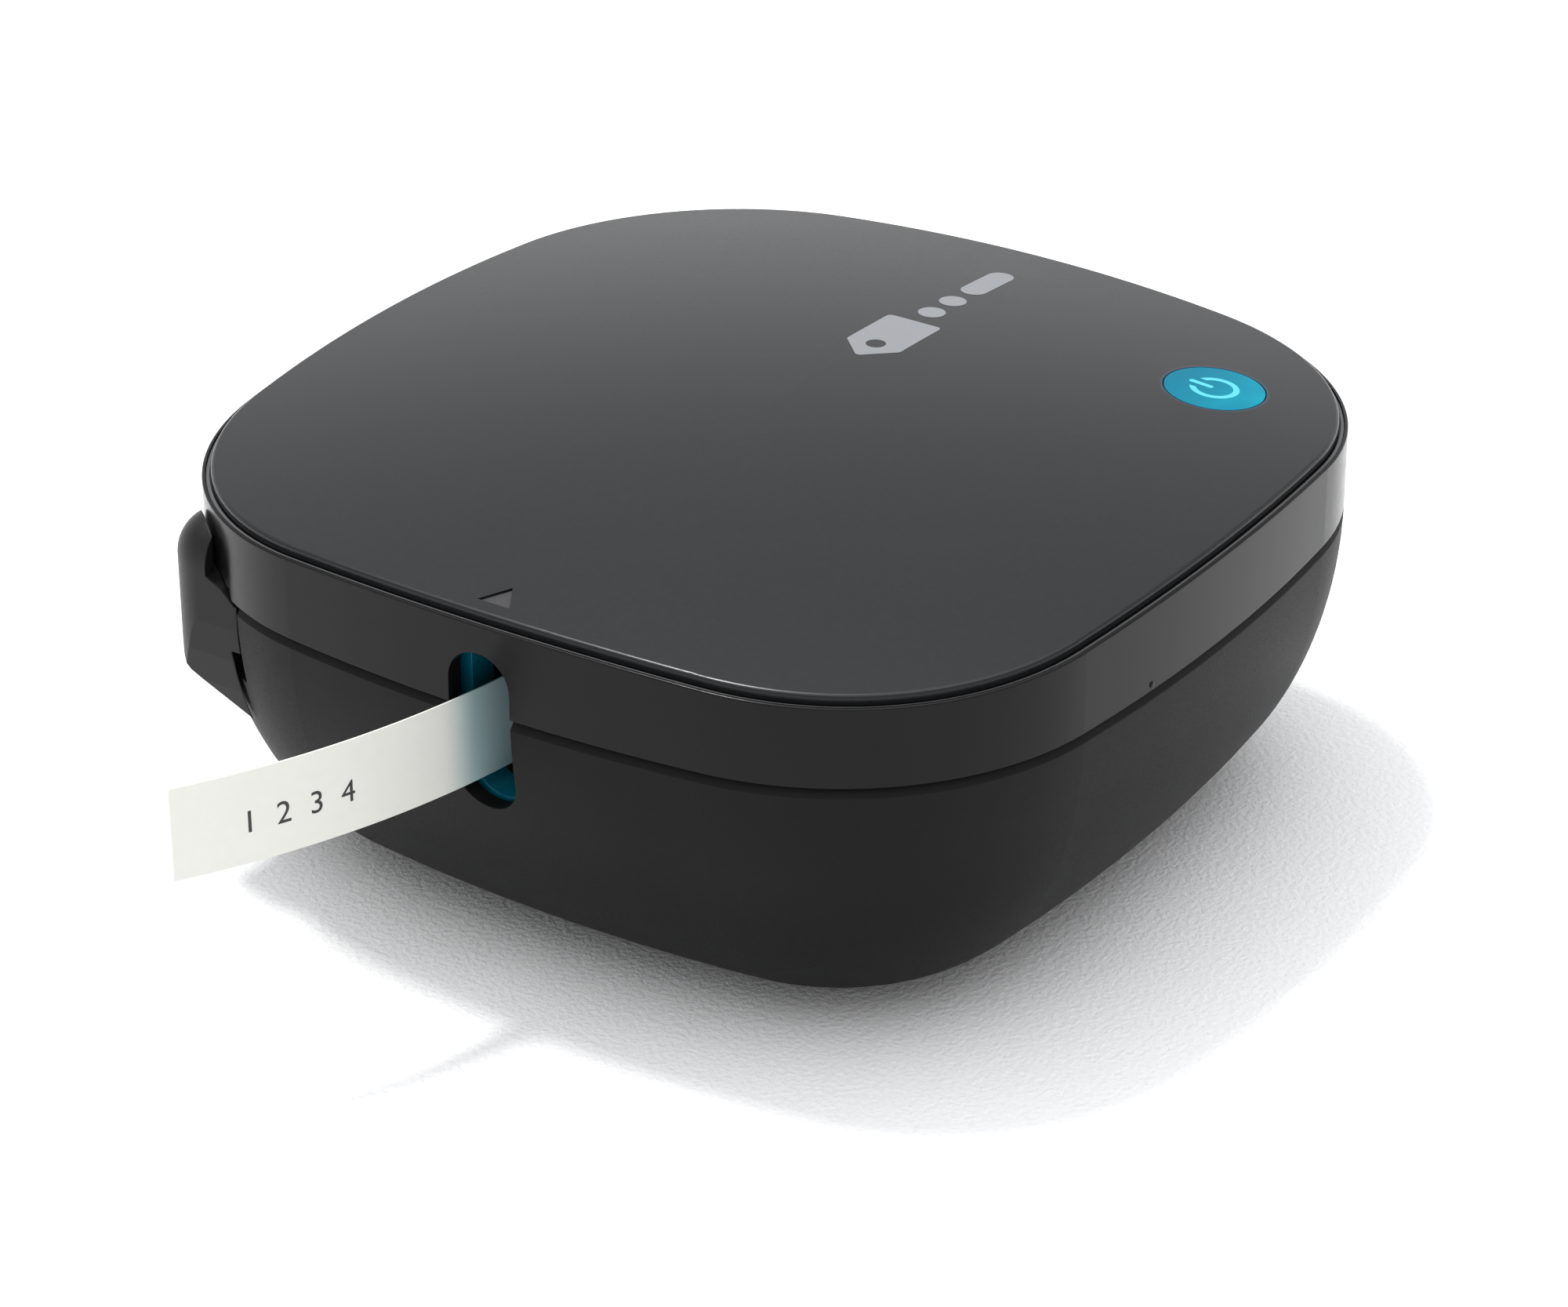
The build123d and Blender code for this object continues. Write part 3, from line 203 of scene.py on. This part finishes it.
# Screws: zinc-plated steel, bright with a bluish cast and turning marks.
zinc_plated = worked_metal("zinc_plated", "#b9bcc0", "#a2a6ab", 0.32, 0.3, (1, 1, 6))

# Motor can: deep-drawn plated steel with drawing lines up its side.
drawn_can = worked_metal("drawn_can", "#c2c3c4", "#aaabad", 0.28, 0.5, (4, 4, 0.4))

# Mechanism plate: cold-rolled galvanised sheet, dull with rolling lines along it.
rolled_sheet = worked_metal("rolled_sheet", "#a9abac", "#8f9192", 0.42, 0.4, (0.25, 4, 1))

# Shafts and pins: centreless-ground steel, bright.
ground_steel = worked_metal("ground_steel", "#d4d4d6", "#bebfc2", 0.18, 0.2, (1, 1, 8))

# Blade: hardened strip, ground across the edge.
ground_blade = worked_metal("ground_blade", "#d9dadd", "#c2c3c6", 0.2, 0.15, (1, 0.3, 6))

# Springs: drawn spring wire, bright with a faint straw cast.
spring_wire = worked_metal("spring_wire", "#c9c5bb", "#aeaaa0", 0.25, 0.2, (2, 2, 2))

# Pinion: free-cutting brass, hobbed, so warm yellow with fine cross lines.
hobbed_brass = worked_metal("hobbed_brass", "#d8b15c", "#c39a48", 0.26, 0.2, (1, 1, 5))

# Heatsink: extruded aluminium, unpolished, with faint die lines.
extruded_aluminium = worked_metal("extruded_aluminium", "#c6c8ca", "#b0b2b4", 0.36, 0.3, (1, 4, 0.3))

# Battery contacts: nickel-plated strip, slightly warm.
nickel_strip = worked_metal("nickel_strip", "#cfcabf", "#b8b3a8", 0.27, 0.3, (1, 4, 1))


# painted shade and a painted teal reflection: the film turns from white to a darker teal between these two
# places, across the slot's mouth
slot_shade_start_x = -66.5 * MM
slot_shade_full_x = -60.5 * MM


def tape_film():
    """Polyester label film with a white coating, satin. The stretch that lies inside the slot is painted
    darker and teal: painted shade from the slot's mouth and a painted reflection of the teal chute."""
    material, tree, shader = new_material("coated_polyester_film")
    place = add_node(tree, "ShaderNodeTexCoord").outputs["Object"]
    along = add_node(tree, "ShaderNodeSeparateXYZ", {0: place})
    slot_shade = add_node(tree, "ShaderNodeMapRange", {
        0: along.outputs[0], 1: slot_shade_start_x, 2: slot_shade_full_x, 3: 0.0, 4: 1.0},
        interpolation_type="SMOOTHSTEP")
    fibre = add_node(tree, "ShaderNodeTexNoise", {"Vector": place, "Scale": per_metre(1.2), "Detail": 4.0})
    coat = add_node(tree, "ShaderNodeMix", {0: fibre.outputs[0], 6: linear("#d4d4ce"), 7: linear("#cfcfc8")},
                    data_type="RGBA")
    # painted shade and painted teal reflection over the stretch inside the slot
    tint = add_node(tree, "ShaderNodeMix", {0: slot_shade.outputs[0], 6: coat.outputs[2], 7: linear("#8fa6a8")},
                    data_type="RGBA")
    gloss = add_node(tree, "ShaderNodeMapRange", {0: fibre.outputs[0], 1: 0.3, 2: 0.7, 3: 0.38, 4: 0.46})
    bump = add_node(tree, "ShaderNodeBump", {
        "Height": fibre.outputs[0], "Distance": 0.003 * MM, "Strength": 0.4})
    feed(tree, shader, {
        "Base Color": tint.outputs[2], "Roughness": gloss.outputs[0],
        "Normal": bump.outputs[0], "IOR": 1.57})
    return material


def wound_film():
    """The roll of the same film: its ends show the turns as fine rings. They are 0.2 mm apart and are drawn
    three times coarser, so that they show."""
    material, tree, shader = new_material("wound_film")
    place = add_node(tree, "ShaderNodeTexCoord").outputs["Object"]
    low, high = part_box("tape_roll")
    centre = (low + high) / 2
    about = add_node(tree, "ShaderNodeVectorMath", {0: place, 1: centre}, operation="SUBTRACT")
    flat = add_node(tree, "ShaderNodeVectorMath", {0: about.outputs[0], 1: (1, 1, 0)}, operation="MULTIPLY")
    out = add_node(tree, "ShaderNodeVectorMath", {0: flat.outputs[0]}, operation="LENGTH")
    ring_pitch = 0.6 * MM
    turns = add_node(tree, "ShaderNodeMath", {0: out.outputs["Value"], 1: math.tau / ring_pitch},
                     operation="MULTIPLY")
    wave = add_node(tree, "ShaderNodeMath", {0: turns.outputs[0]}, operation="SINE")
    rings = add_node(tree, "ShaderNodeMapRange", {0: wave.outputs[0], 1: -1.0, 2: 1.0, 3: 0.0, 4: 1.0})
    tint = add_node(tree, "ShaderNodeMix", {0: rings.outputs[0], 6: linear("#dededa"), 7: linear("#f1f1ec")},
                    data_type="RGBA")
    gloss = add_node(tree, "ShaderNodeMapRange", {0: rings.outputs[0], 3: 0.42, 4: 0.52})
    feed(tree, shader, {"Base Color": tint.outputs[2], "Roughness": gloss.outputs[0], "IOR": 1.57})
    return material


def lit_lens():
    """Button: polished translucent acrylic, deep cyan, with a painted glow that makes it a little lighter
    over the light pipe.
    """
    material, tree, shader = new_material("translucent_acrylic")
    place = add_node(tree, "ShaderNodeTexCoord").outputs["Object"]
    low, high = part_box("power_button")
    centre = Vector(((low.x + high.x) / 2, (low.y + high.y) / 2, high.z))
    about = add_node(tree, "ShaderNodeVectorMath", {0: place, 1: centre}, operation="SUBTRACT")
    side = add_node(tree, "ShaderNodeSeparateXYZ", {0: about.outputs[0]})
    # painted glow: lighter towards the front edge, where the light pipe sits
    across = add_node(tree, "ShaderNodeMapRange", {0: side.outputs[1], 1: 5 * MM, 2: -6 * MM, 3: 0.0, 4: 1.0})
    haze = add_node(tree, "ShaderNodeTexNoise", {"Vector": place, "Scale": per_metre(6), "Detail": 2.0})
    painted_glow = add_node(tree, "ShaderNodeMath", {0: across.outputs[0], 1: haze.outputs[0]}, operation="MULTIPLY")
    tint = add_node(tree, "ShaderNodeMix", {0: painted_glow.outputs[0], 6: linear("#006278"), 7: linear("#09899c")},
                    data_type="RGBA")
    gloss = add_node(tree, "ShaderNodeMapRange", {0: haze.outputs[0], 3: 0.1, 4: 0.18})
    # the lens is lit from below, which washes out most of its surface shine
    feed(tree, shader, {
        "Base Color": tint.outputs[2], "Roughness": gloss.outputs[0], "IOR": 1.49,
        "Specular IOR Level": 0.04})
    return material


def masked_board():
    """Glass-epoxy board under green solder mask: copper tracks show as slightly lighter, raised lines."""
    material, tree, shader = new_material("masked_glass_epoxy")
    place = add_node(tree, "ShaderNodeTexCoord").outputs["Object"]
    cells = add_node(tree, "ShaderNodeTexVoronoi", {
        "Vector": place, "Scale": per_metre(4.0), "Randomness": 0.0}, distance="CHEBYCHEV")
    grid = add_node(tree, "ShaderNodeTexBrick", {
        "Vector": place, "Color1": (0, 0, 0, 1), "Color2": (0.25, 0.25, 0.25, 1), "Mortar": (1, 1, 1, 1),
        "Scale": 1.0, "Mortar Size": 0.14 * MM, "Brick Width": 3.1 * MM, "Row Height": 0.9 * MM})
    track = add_node(tree, "ShaderNodeMath", {0: grid.outputs[0], 1: cells.outputs[0]}, operation="MULTIPLY")
    weave = add_node(tree, "ShaderNodeTexNoise", {"Vector": place, "Scale": per_metre(0.5), "Detail": 2.0})
    mask = add_node(tree, "ShaderNodeMix", {0: grid.outputs[0], 6: linear("#0b4a2c"), 7: linear("#1d7a4a")},
                    data_type="RGBA")
    gloss = add_node(tree, "ShaderNodeMapRange", {0: weave.outputs[0], 3: 0.22, 4: 0.36})
    bump = add_node(tree, "ShaderNodeBump", {
        "Height": track.outputs[0], "Distance": 0.03 * MM, "Strength": 0.5})
    feed(tree, shader, {
        "Base Color": mask.outputs[2], "Roughness": gloss.outputs[0],
        "Normal": bump.outputs[0], "IOR": 1.55})
    return material


def wrapped_cell(name, node, facing):
    """A drawn steel cell in a shrunk label: black, copper towards the + end, and bare at the tips."""
    material, tree, shader = new_material(name)
    low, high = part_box(node)
    place = add_node(tree, "ShaderNodeTexCoord").outputs["Object"]
    along = add_node(tree, "ShaderNodeSeparateXYZ", {0: place})
    forward = add_node(tree, "ShaderNodeMath", {0: along.outputs[0], 1: float(facing)}, operation="MULTIPLY")
    half = (high.x - low.x) / 2
    copper_from = 0.32 * half
    copper = add_node(tree, "ShaderNodeMath", {0: forward.outputs[0], 1: copper_from},
                      operation="GREATER_THAN")
    reach = add_node(tree, "ShaderNodeMath", {0: along.outputs[0]}, operation="ABSOLUTE")
    bare_from = half - 1.7 * MM
    bare = add_node(tree, "ShaderNodeMath", {0: reach.outputs[0], 1: bare_from}, operation="GREATER_THAN")
    crease = add_node(tree, "ShaderNodeTexNoise", {"Vector": place, "Scale": per_metre(3.0), "Detail": 3.0})
    label = add_node(tree, "ShaderNodeMix", {
        0: copper.outputs[0], 6: linear("#1a1b1d"), 7: linear("#b8763a")}, data_type="RGBA")
    whole = add_node(tree, "ShaderNodeMix", {0: bare.outputs[0], 6: label.outputs[2], 7: linear("#c6c6c4")},
                     data_type="RGBA")
    metal = add_node(tree, "ShaderNodeMath", {0: bare.outputs[0], 1: copper.outputs[0]}, operation="MAXIMUM")
    gloss = add_node(tree, "ShaderNodeMapRange", {0: crease.outputs[0], 3: 0.22, 4: 0.4})
    bump = add_node(tree, "ShaderNodeBump", {
        "Height": crease.outputs[0], "Distance": 0.02 * MM, "Strength": 0.4})
    feed(tree, shader, {
        "Base Color": whole.outputs[2], "Metallic": metal.outputs[0],
        "Roughness": gloss.outputs[0], "Normal": bump.outputs[0]})
    return material


label_film = tape_film()
board_finish = masked_board()

finishes = {
    "lower_shell": spark_eroded_abs, "battery_door": spark_eroded_abs, "cutter_lever": rubbed_abs,
    "foot_ring": silicone_foot, "upper_housing": polished_abs, "top_panel": satin_polycarbonate,
    "trim_ring": bead_elastomer, "emblem": pad_print_grey, "slot_mark": etched_mark,
    "button_bezel": navy_acrylic, "power_button": lit_lens(), "power_symbol": pad_print_cyan,
    "button_spring": spring_wire, "lever_return_spring": spring_wire,
    "battery_contacts_left": nickel_strip, "battery_contacts_right": nickel_strip,
    "chassis_tray": teal_moulding, "chassis_screws": zinc_plated, "plate_screws": zinc_plated,
    "board_screws": zinc_plated, "mechanism_plate": rolled_sheet, "platen_bracket": rolled_sheet,
    "drive_motor": drawn_can, "motor_pinion": hobbed_brass, "idler_gear": natural_acetal,
    "platen_gear": natural_acetal, "idler_axle": ground_steel, "platen_shaft": ground_steel,
    "lever_pivot_pin": ground_steel, "platen_roller": ground_nitrile, "print_head": glazed_alumina,
    "head_heatsink": extruded_aluminium, "cutter_anvil": ground_blade, "cutter_blade": ground_blade,
    "blade_carrier": filled_acetal, "main_board": board_finish, "radio_module": moulded_epoxy,
    "driver_chips": moulded_epoxy, "storage_capacitors": drawn_can, "power_switch": moulded_epoxy,
    "cassette_base": satin_polystyrene, "cassette_lid": satin_polystyrene, "tape_spool": natural_acetal,
    "tape_roll": wound_film(), "guide_roller": natural_acetal, "label_tape": label_film,
}
for number in range(1, 5):
    cell = f"aa_cell_{number}"
    # neighbouring cells lie head to tail
    finishes[cell] = wrapped_cell(f"cell_wrap_{number}", cell, -1 if number % 2 else 1)

for name, node in nodes.items():
    node.data.materials.clear()
    node.data.materials.append(finishes[name])


# ---- pieces in mesh code ---------------------------------------------------------------------------


def mesh_piece(name, build, material, body):
    """Makes a piece from a function that fills a bmesh, gives it its finish and lets it ride on a body."""
    shape = bmesh.new()
    build(shape)
    bmesh.ops.recalc_face_normals(shape, faces=shape.faces)
    mesh = bpy.data.meshes.new(name)
    shape.to_mesh(mesh)
    shape.free()
    for face in mesh.polygons:
        face.use_smooth = True
    mesh.set_sharp_from_angle(angle=math.radians(40))
    piece = bpy.data.objects.new(name, mesh)
    bpy.context.scene.collection.objects.link(piece)
    mesh.materials.append(material)
    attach(piece, body)
    return piece


def coil(shape, centre, low_z, high_z, radius, wire, turns, steps=36, sides=10):
    """A compression spring: round wire, of this radius, on a helix whose end turns lie flat."""
    flat_turns = 0.8
    total = int(turns * steps)
    rings = []
    for step in range(total + 1):
        turn = step / steps
        # the first and last turns are closed, and the rise is all between them
        ease = min(max((turn - flat_turns) / (turns - 2 * flat_turns), 0.0), 1.0)
        height = low_z + wire + ease * (high_z - low_z - 2 * wire)
        angle = math.tau * turn
        out = Vector((math.cos(angle), math.sin(angle), 0))
        middle = Vector((centre[0], centre[1], height)) + out * radius
        ring = []
        for side in range(sides):
            around = math.tau * side / sides
            across = math.cos(around) * out + math.sin(around) * Vector((0, 0, 1))
            ring.append(shape.verts.new(middle + wire * across))
        rings.append(ring)
    for a, b in zip(rings, rings[1:]):
        for i in range(sides):
            j = (i + 1) % sides
            shape.faces.new((a[i], a[j], b[j], b[i]))
    shape.faces.new(rings[0])
    shape.faces.new(list(reversed(rings[-1])))


def spring_piece(node, body, wire, turns):
    """A wound coil in place of a spring's plain sleeve."""
    low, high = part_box(node)
    centre = ((low.x + high.x) / 2, (low.y + high.y) / 2)
    radius = (high.x - low.x) / 2 - wire
    piece = mesh_piece(
        f"{node}_coil",
        lambda shape: coil(shape, centre, low.z, high.z, radius, wire, turns),
        spring_wire, body)
    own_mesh(piece)
    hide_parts(node)


# Each coil is made at its full height. The arm's own travel would leave about 0.80 of the lever's coil; the
# pressed button leaves 0.1 mm, less than two turns of this wire can close to.
spring_piece("lever_return_spring", "base", 0.25 * MM, 6)
spring_piece("button_spring", "cover", 0.12 * MM, 2)


def rounded_block(shape, low, high, round_by):
    """A block with rounded edges, such as a resistor's body or a pin."""
    middle = (Vector(low) + Vector(high)) / 2
    size = Vector(high) - Vector(low)
    placed = Matrix.Translation(middle) @ Matrix.Diagonal((*size, 1))
    made = bmesh.ops.create_cube(shape, size=1.0, matrix=placed)
    edges = list({edge for vert in made["verts"] for edge in vert.link_edges})
    bmesh.ops.bevel(shape, geom=edges, offset=round_by, segments=2, affect="EDGES")


# ---- print on the tape: plain digits ---------------------------------------------------------------
# the tape runs straight as far as bend_x, then round an arc about (bend_x, bend_y)
bend_radius = 110.0 * MM
bend_x = -41.0 * MM
bend_y = 0.4 * MM + bend_radius
film_half = 0.1 * MM
digit_height = 3.0 * MM
digit_width_scale = 0.9
digit_pitch = 3.9 * MM
first_digit_x = -90.6 * MM
digit_foot_z = 32.0 * MM
ink_thickness = 0.012 * MM
font_cap_share = 0.73  # height of a digit at text size 1


def on_tape(along, height, out):
    """A point on the face of the bent tape that looks to -Y. Along is measured in X at the film's middle."""
    turn = math.asin((bend_x - along) / bend_radius)
    reach = bend_radius + film_half + out
    return Vector((bend_x - reach * math.sin(turn), bend_y - reach * math.cos(turn), height))


for number, digit in enumerate("1234"):
    text = bpy.data.curves.new(f"digit_{digit}_outline", "FONT")
    text.body = digit
    text.size = digit_height / font_cap_share
    text.align_x = "CENTER"
    text.extrude = 0.5
    text.resolution_u = 6
    outline = bpy.data.objects.new("outline", text)
    bpy.context.scene.collection.objects.link(outline)
    bpy.context.view_layer.update()
    mesh = bpy.data.meshes.new_from_object(outline)
    bpy.data.objects.remove(outline)
    for vert in mesh.vertices:
        height = digit_foot_z + vert.co.y
        out = ink_thickness if vert.co.z > 0 else -ink_thickness
        along = first_digit_x + number * digit_pitch + vert.co.x * digit_width_scale
        vert.co = on_tape(along, height, out)
    mesh.materials.clear()
    mesh.materials.append(transfer_ink)
    digit_piece = bpy.data.objects.new(f"tape_digit_{digit}", mesh)
    bpy.context.scene.collection.objects.link(digit_piece)
    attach(digit_piece, "cassette")

# ---- gate mark: the small witness that the mould leaves on the band just above the part line ----------
# the band's front wall is an arc of this radius in plan, and its middle reaches band_front_y
band_front_y = -63.2 * MM
wall_radius = 245.0 * MM
gate_x = -15.5 * MM
gate_y = band_front_y + wall_radius - math.sqrt(wall_radius ** 2 - gate_x ** 2)
gate_z = 39.6 * MM
gate_steps = 20
# radius and height above the wall of each ring, in mm, from the foot to the top
gate_profile = ((0.45, -0.1), (0.42, 0.06), (0.3, 0.14), (0.12, 0.17))


def gate_mark(shape):
    """A shallow button with a soft edge, standing out of the wall."""
    rings = []
    for radius_mm, out_mm in gate_profile:
        ring = []
        for step in range(gate_steps):
            turn = math.tau * step / gate_steps
            ring.append(shape.verts.new((
                gate_x + radius_mm * MM * math.cos(turn),
                gate_y - out_mm * MM,
                gate_z + radius_mm * MM * math.sin(turn))))
        rings.append(ring)
    for a, b in zip(rings, rings[1:]):
        for i in range(gate_steps):
            j = (i + 1) % gate_steps
            shape.faces.new((a[i], a[j], b[j], b[i]))
    shape.faces.new(rings[-1])
    shape.faces.new(rings[0])


mesh_piece("gate_mark", gate_mark, polished_abs, "cover")

# ---- small parts on the board ----------------------------------------------------------------------
board_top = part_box("main_board")[1].z


def on_board(shape, x, y, length, width, height):
    """A small rounded block that stands on the board, with its length along X."""
    low = (x - length / 2, y - width / 2, board_top)
    high = (x + length / 2, y + width / 2, board_top + height)
    rounded_block(shape, low, high, 0.1 * MM)


resistor_places = [(31.5 * MM, (-14 + 4 * i) * MM) for i in range(4)]
resistor_places += [((42 + 3 * i) * MM, 3.0 * MM) for i in range(4)]
resistor_places += [((44 + 3 * i) * MM, -27.5 * MM) for i in range(2)]


def resistor_bodies(shape):
    """The dark body of each surface-mount resistor."""
    for x, y in resistor_places:
        on_board(shape, x, y, 1.0 * MM, 0.85 * MM, 0.5 * MM)


def resistor_caps(shape):
    """The two soldered end caps of each resistor."""
    for x, y in resistor_places:
        for side in (-1, 1):
            on_board(shape, x + side * 0.7 * MM, y, 0.4 * MM, 0.95 * MM, 0.58 * MM)


mesh_piece("board_resistors", resistor_bodies, moulded_epoxy, "base")
mesh_piece("board_resistor_caps", resistor_caps, zinc_plated, "base")

# the two chips that have pins along both sides: X range and Y range of each, in mm
chip_sides = (((33.0, 41.0), (-8.0, 0.0)), ((44.0, 50.0), (-10.0, -2.0)))
pin_pitch_mm = 1.0
pin_half = 0.2 * MM
pin_round = 0.06 * MM


def chip_pins(shape):
    """Bent pins: a flat foot on the board and a short upright against the chip's side."""
    for (low_x, high_x), (low_y, high_y) in chip_sides:
        count = int((high_x - low_x) / pin_pitch_mm) - 1
        for i in range(count):
            x = (low_x + (i + 1) * pin_pitch_mm) * MM
            for y, side in ((low_y * MM, -1), (high_y * MM, 1)):
                foot_low, foot_high = sorted((y - side * 0.05 * MM, y + side * 0.9 * MM))
                rounded_block(shape, (x - pin_half, foot_low, board_top),
                              (x + pin_half, foot_high, board_top + 0.25 * MM), pin_round)
                upright_low, upright_high = sorted((y, y + side * 0.25 * MM))
                rounded_block(shape, (x - pin_half, upright_low, board_top + 0.1 * MM),
                              (x + pin_half, upright_high, board_top + 0.8 * MM), pin_round)


mesh_piece("chip_pins", chip_pins, zinc_plated, "base")

# ---- floor, light and camera -----------------------------------------------------------------------
floor_mesh = bpy.data.meshes.new("floor")
floor_reach = 4.0
floor_corners = [(x * floor_reach, y * floor_reach, 0) for x, y in ((-1, -1), (1, -1), (1, 1), (-1, 1))]
floor_mesh.from_pydata(floor_corners, [], [(0, 1, 2, 3)])
floor = bpy.data.objects.new("floor", floor_mesh)
bpy.context.scene.collection.objects.link(floor)

# Background paper: uncoated white card with a fine felt side, which shows as grain inside the shadow.
paper, paper_tree, paper_shader = new_material("uncoated_card")
paper_place = add_node(paper_tree, "ShaderNodeTexCoord").outputs["Object"]
felt = add_node(paper_tree, "ShaderNodeTexNoise", {
    "Vector": paper_place, "Scale": per_metre(0.8), "Detail": 3.0})
paper_tint = add_node(paper_tree, "ShaderNodeMix", {
    0: felt.outputs[0], 6: linear("#e2e2e2"), 7: linear("#ececec")}, data_type="RGBA")
paper_bump = add_node(paper_tree, "ShaderNodeBump", {
    "Height": felt.outputs[0], "Distance": 0.25 * MM, "Strength": 1.0})
feed(paper_tree, paper_shader, {
    "Base Color": paper_tint.outputs[2], "Normal": paper_bump.outputs[0],
    "Roughness": 0.9, "Specular IOR Level": 0.2})
floor_mesh.materials.append(paper)

# Main light: a small round softbox, high over the body and a little towards the back, aimed at its middle.
key_light = bpy.data.lights.new("key", "AREA")
key_light.shape = "DISK"
key_light.size = 0.2
key_light.energy = 16.0
key_lamp = bpy.data.objects.new("key", key_light)
bpy.context.scene.collection.objects.link(key_lamp)
body_middle = Vector((0, 0, 0.03))
key_direction = Vector((0.06, 0.33, 1.0)).normalized()
key_distance = 1.5
key_lamp.location = body_middle + key_direction * key_distance
key_lamp.rotation_euler = key_direction.to_track_quat("Z", "Y").to_euler()

world = bpy.data.worlds.new("studio")
world.use_nodes = True
world_tree = world.node_tree
world_tree.nodes.clear()
sky_place = add_node(world_tree, "ShaderNodeTexCoord").outputs["Generated"]
sky_height = add_node(world_tree, "ShaderNodeSeparateXYZ", {0: sky_place})
# a bright overhead scrim, darker flags half way down, and pale walls near the floor; each stop is the sine
# of the height angle and its brightness
sky_fade = add_node(world_tree, "ShaderNodeValToRGB", {0: sky_height.outputs[2]})
sky_fade.color_ramp.interpolation = "EASE"
sky_tint = (0.99, 0.995, 1.01)
sky_strength = 2.9
sky_stops = ((0.0, 0.42), (0.26, 0.38), (0.5, 0.22), (0.66, 0.25), (0.82, 0.68), (1.0, 1.0))
for place, bright in sky_stops[1:-1]:
    sky_fade.color_ramp.elements.new(place)
for stop, (place, bright) in zip(sky_fade.color_ramp.elements, sky_stops):
    stop.position = place
    stop.color = (*(bright * share for share in sky_tint), 1.0)
background = add_node(world_tree, "ShaderNodeBackground", {0: sky_fade.outputs[0], 1: sky_strength})
add_node(world_tree, "ShaderNodeOutputWorld", {"Surface": background.outputs[0]})
bpy.context.scene.world = world

camera_place = Vector((-0.47515, -0.31905, 0.32253))
camera_azimuth = math.radians(-146.16)
camera_elevation = math.radians(27.98)
camera_roll = math.radians(-0.17)
back = Vector((
    math.cos(camera_elevation) * math.cos(camera_azimuth),
    math.cos(camera_elevation) * math.sin(camera_azimuth),
    math.sin(camera_elevation)))
right = Vector((-math.sin(camera_azimuth), math.cos(camera_azimuth), 0))
up = back.cross(right)
rolled_right = math.cos(camera_roll) * right + math.sin(camera_roll) * up
rolled_up = math.cos(camera_roll) * up - math.sin(camera_roll) * right
camera_data = bpy.data.cameras.new("camera")
camera_data.lens = 116.93
camera_data.sensor_width = 36.0
camera = bpy.data.objects.new("camera", camera_data)
turn = Matrix((rolled_right, rolled_up, back)).transposed().to_4x4()
camera.matrix_world = Matrix.Translation(camera_place) @ turn
bpy.context.scene.collection.objects.link(camera)
bpy.context.scene.camera = camera
bpy.context.scene.view_settings.view_transform = "Standard"
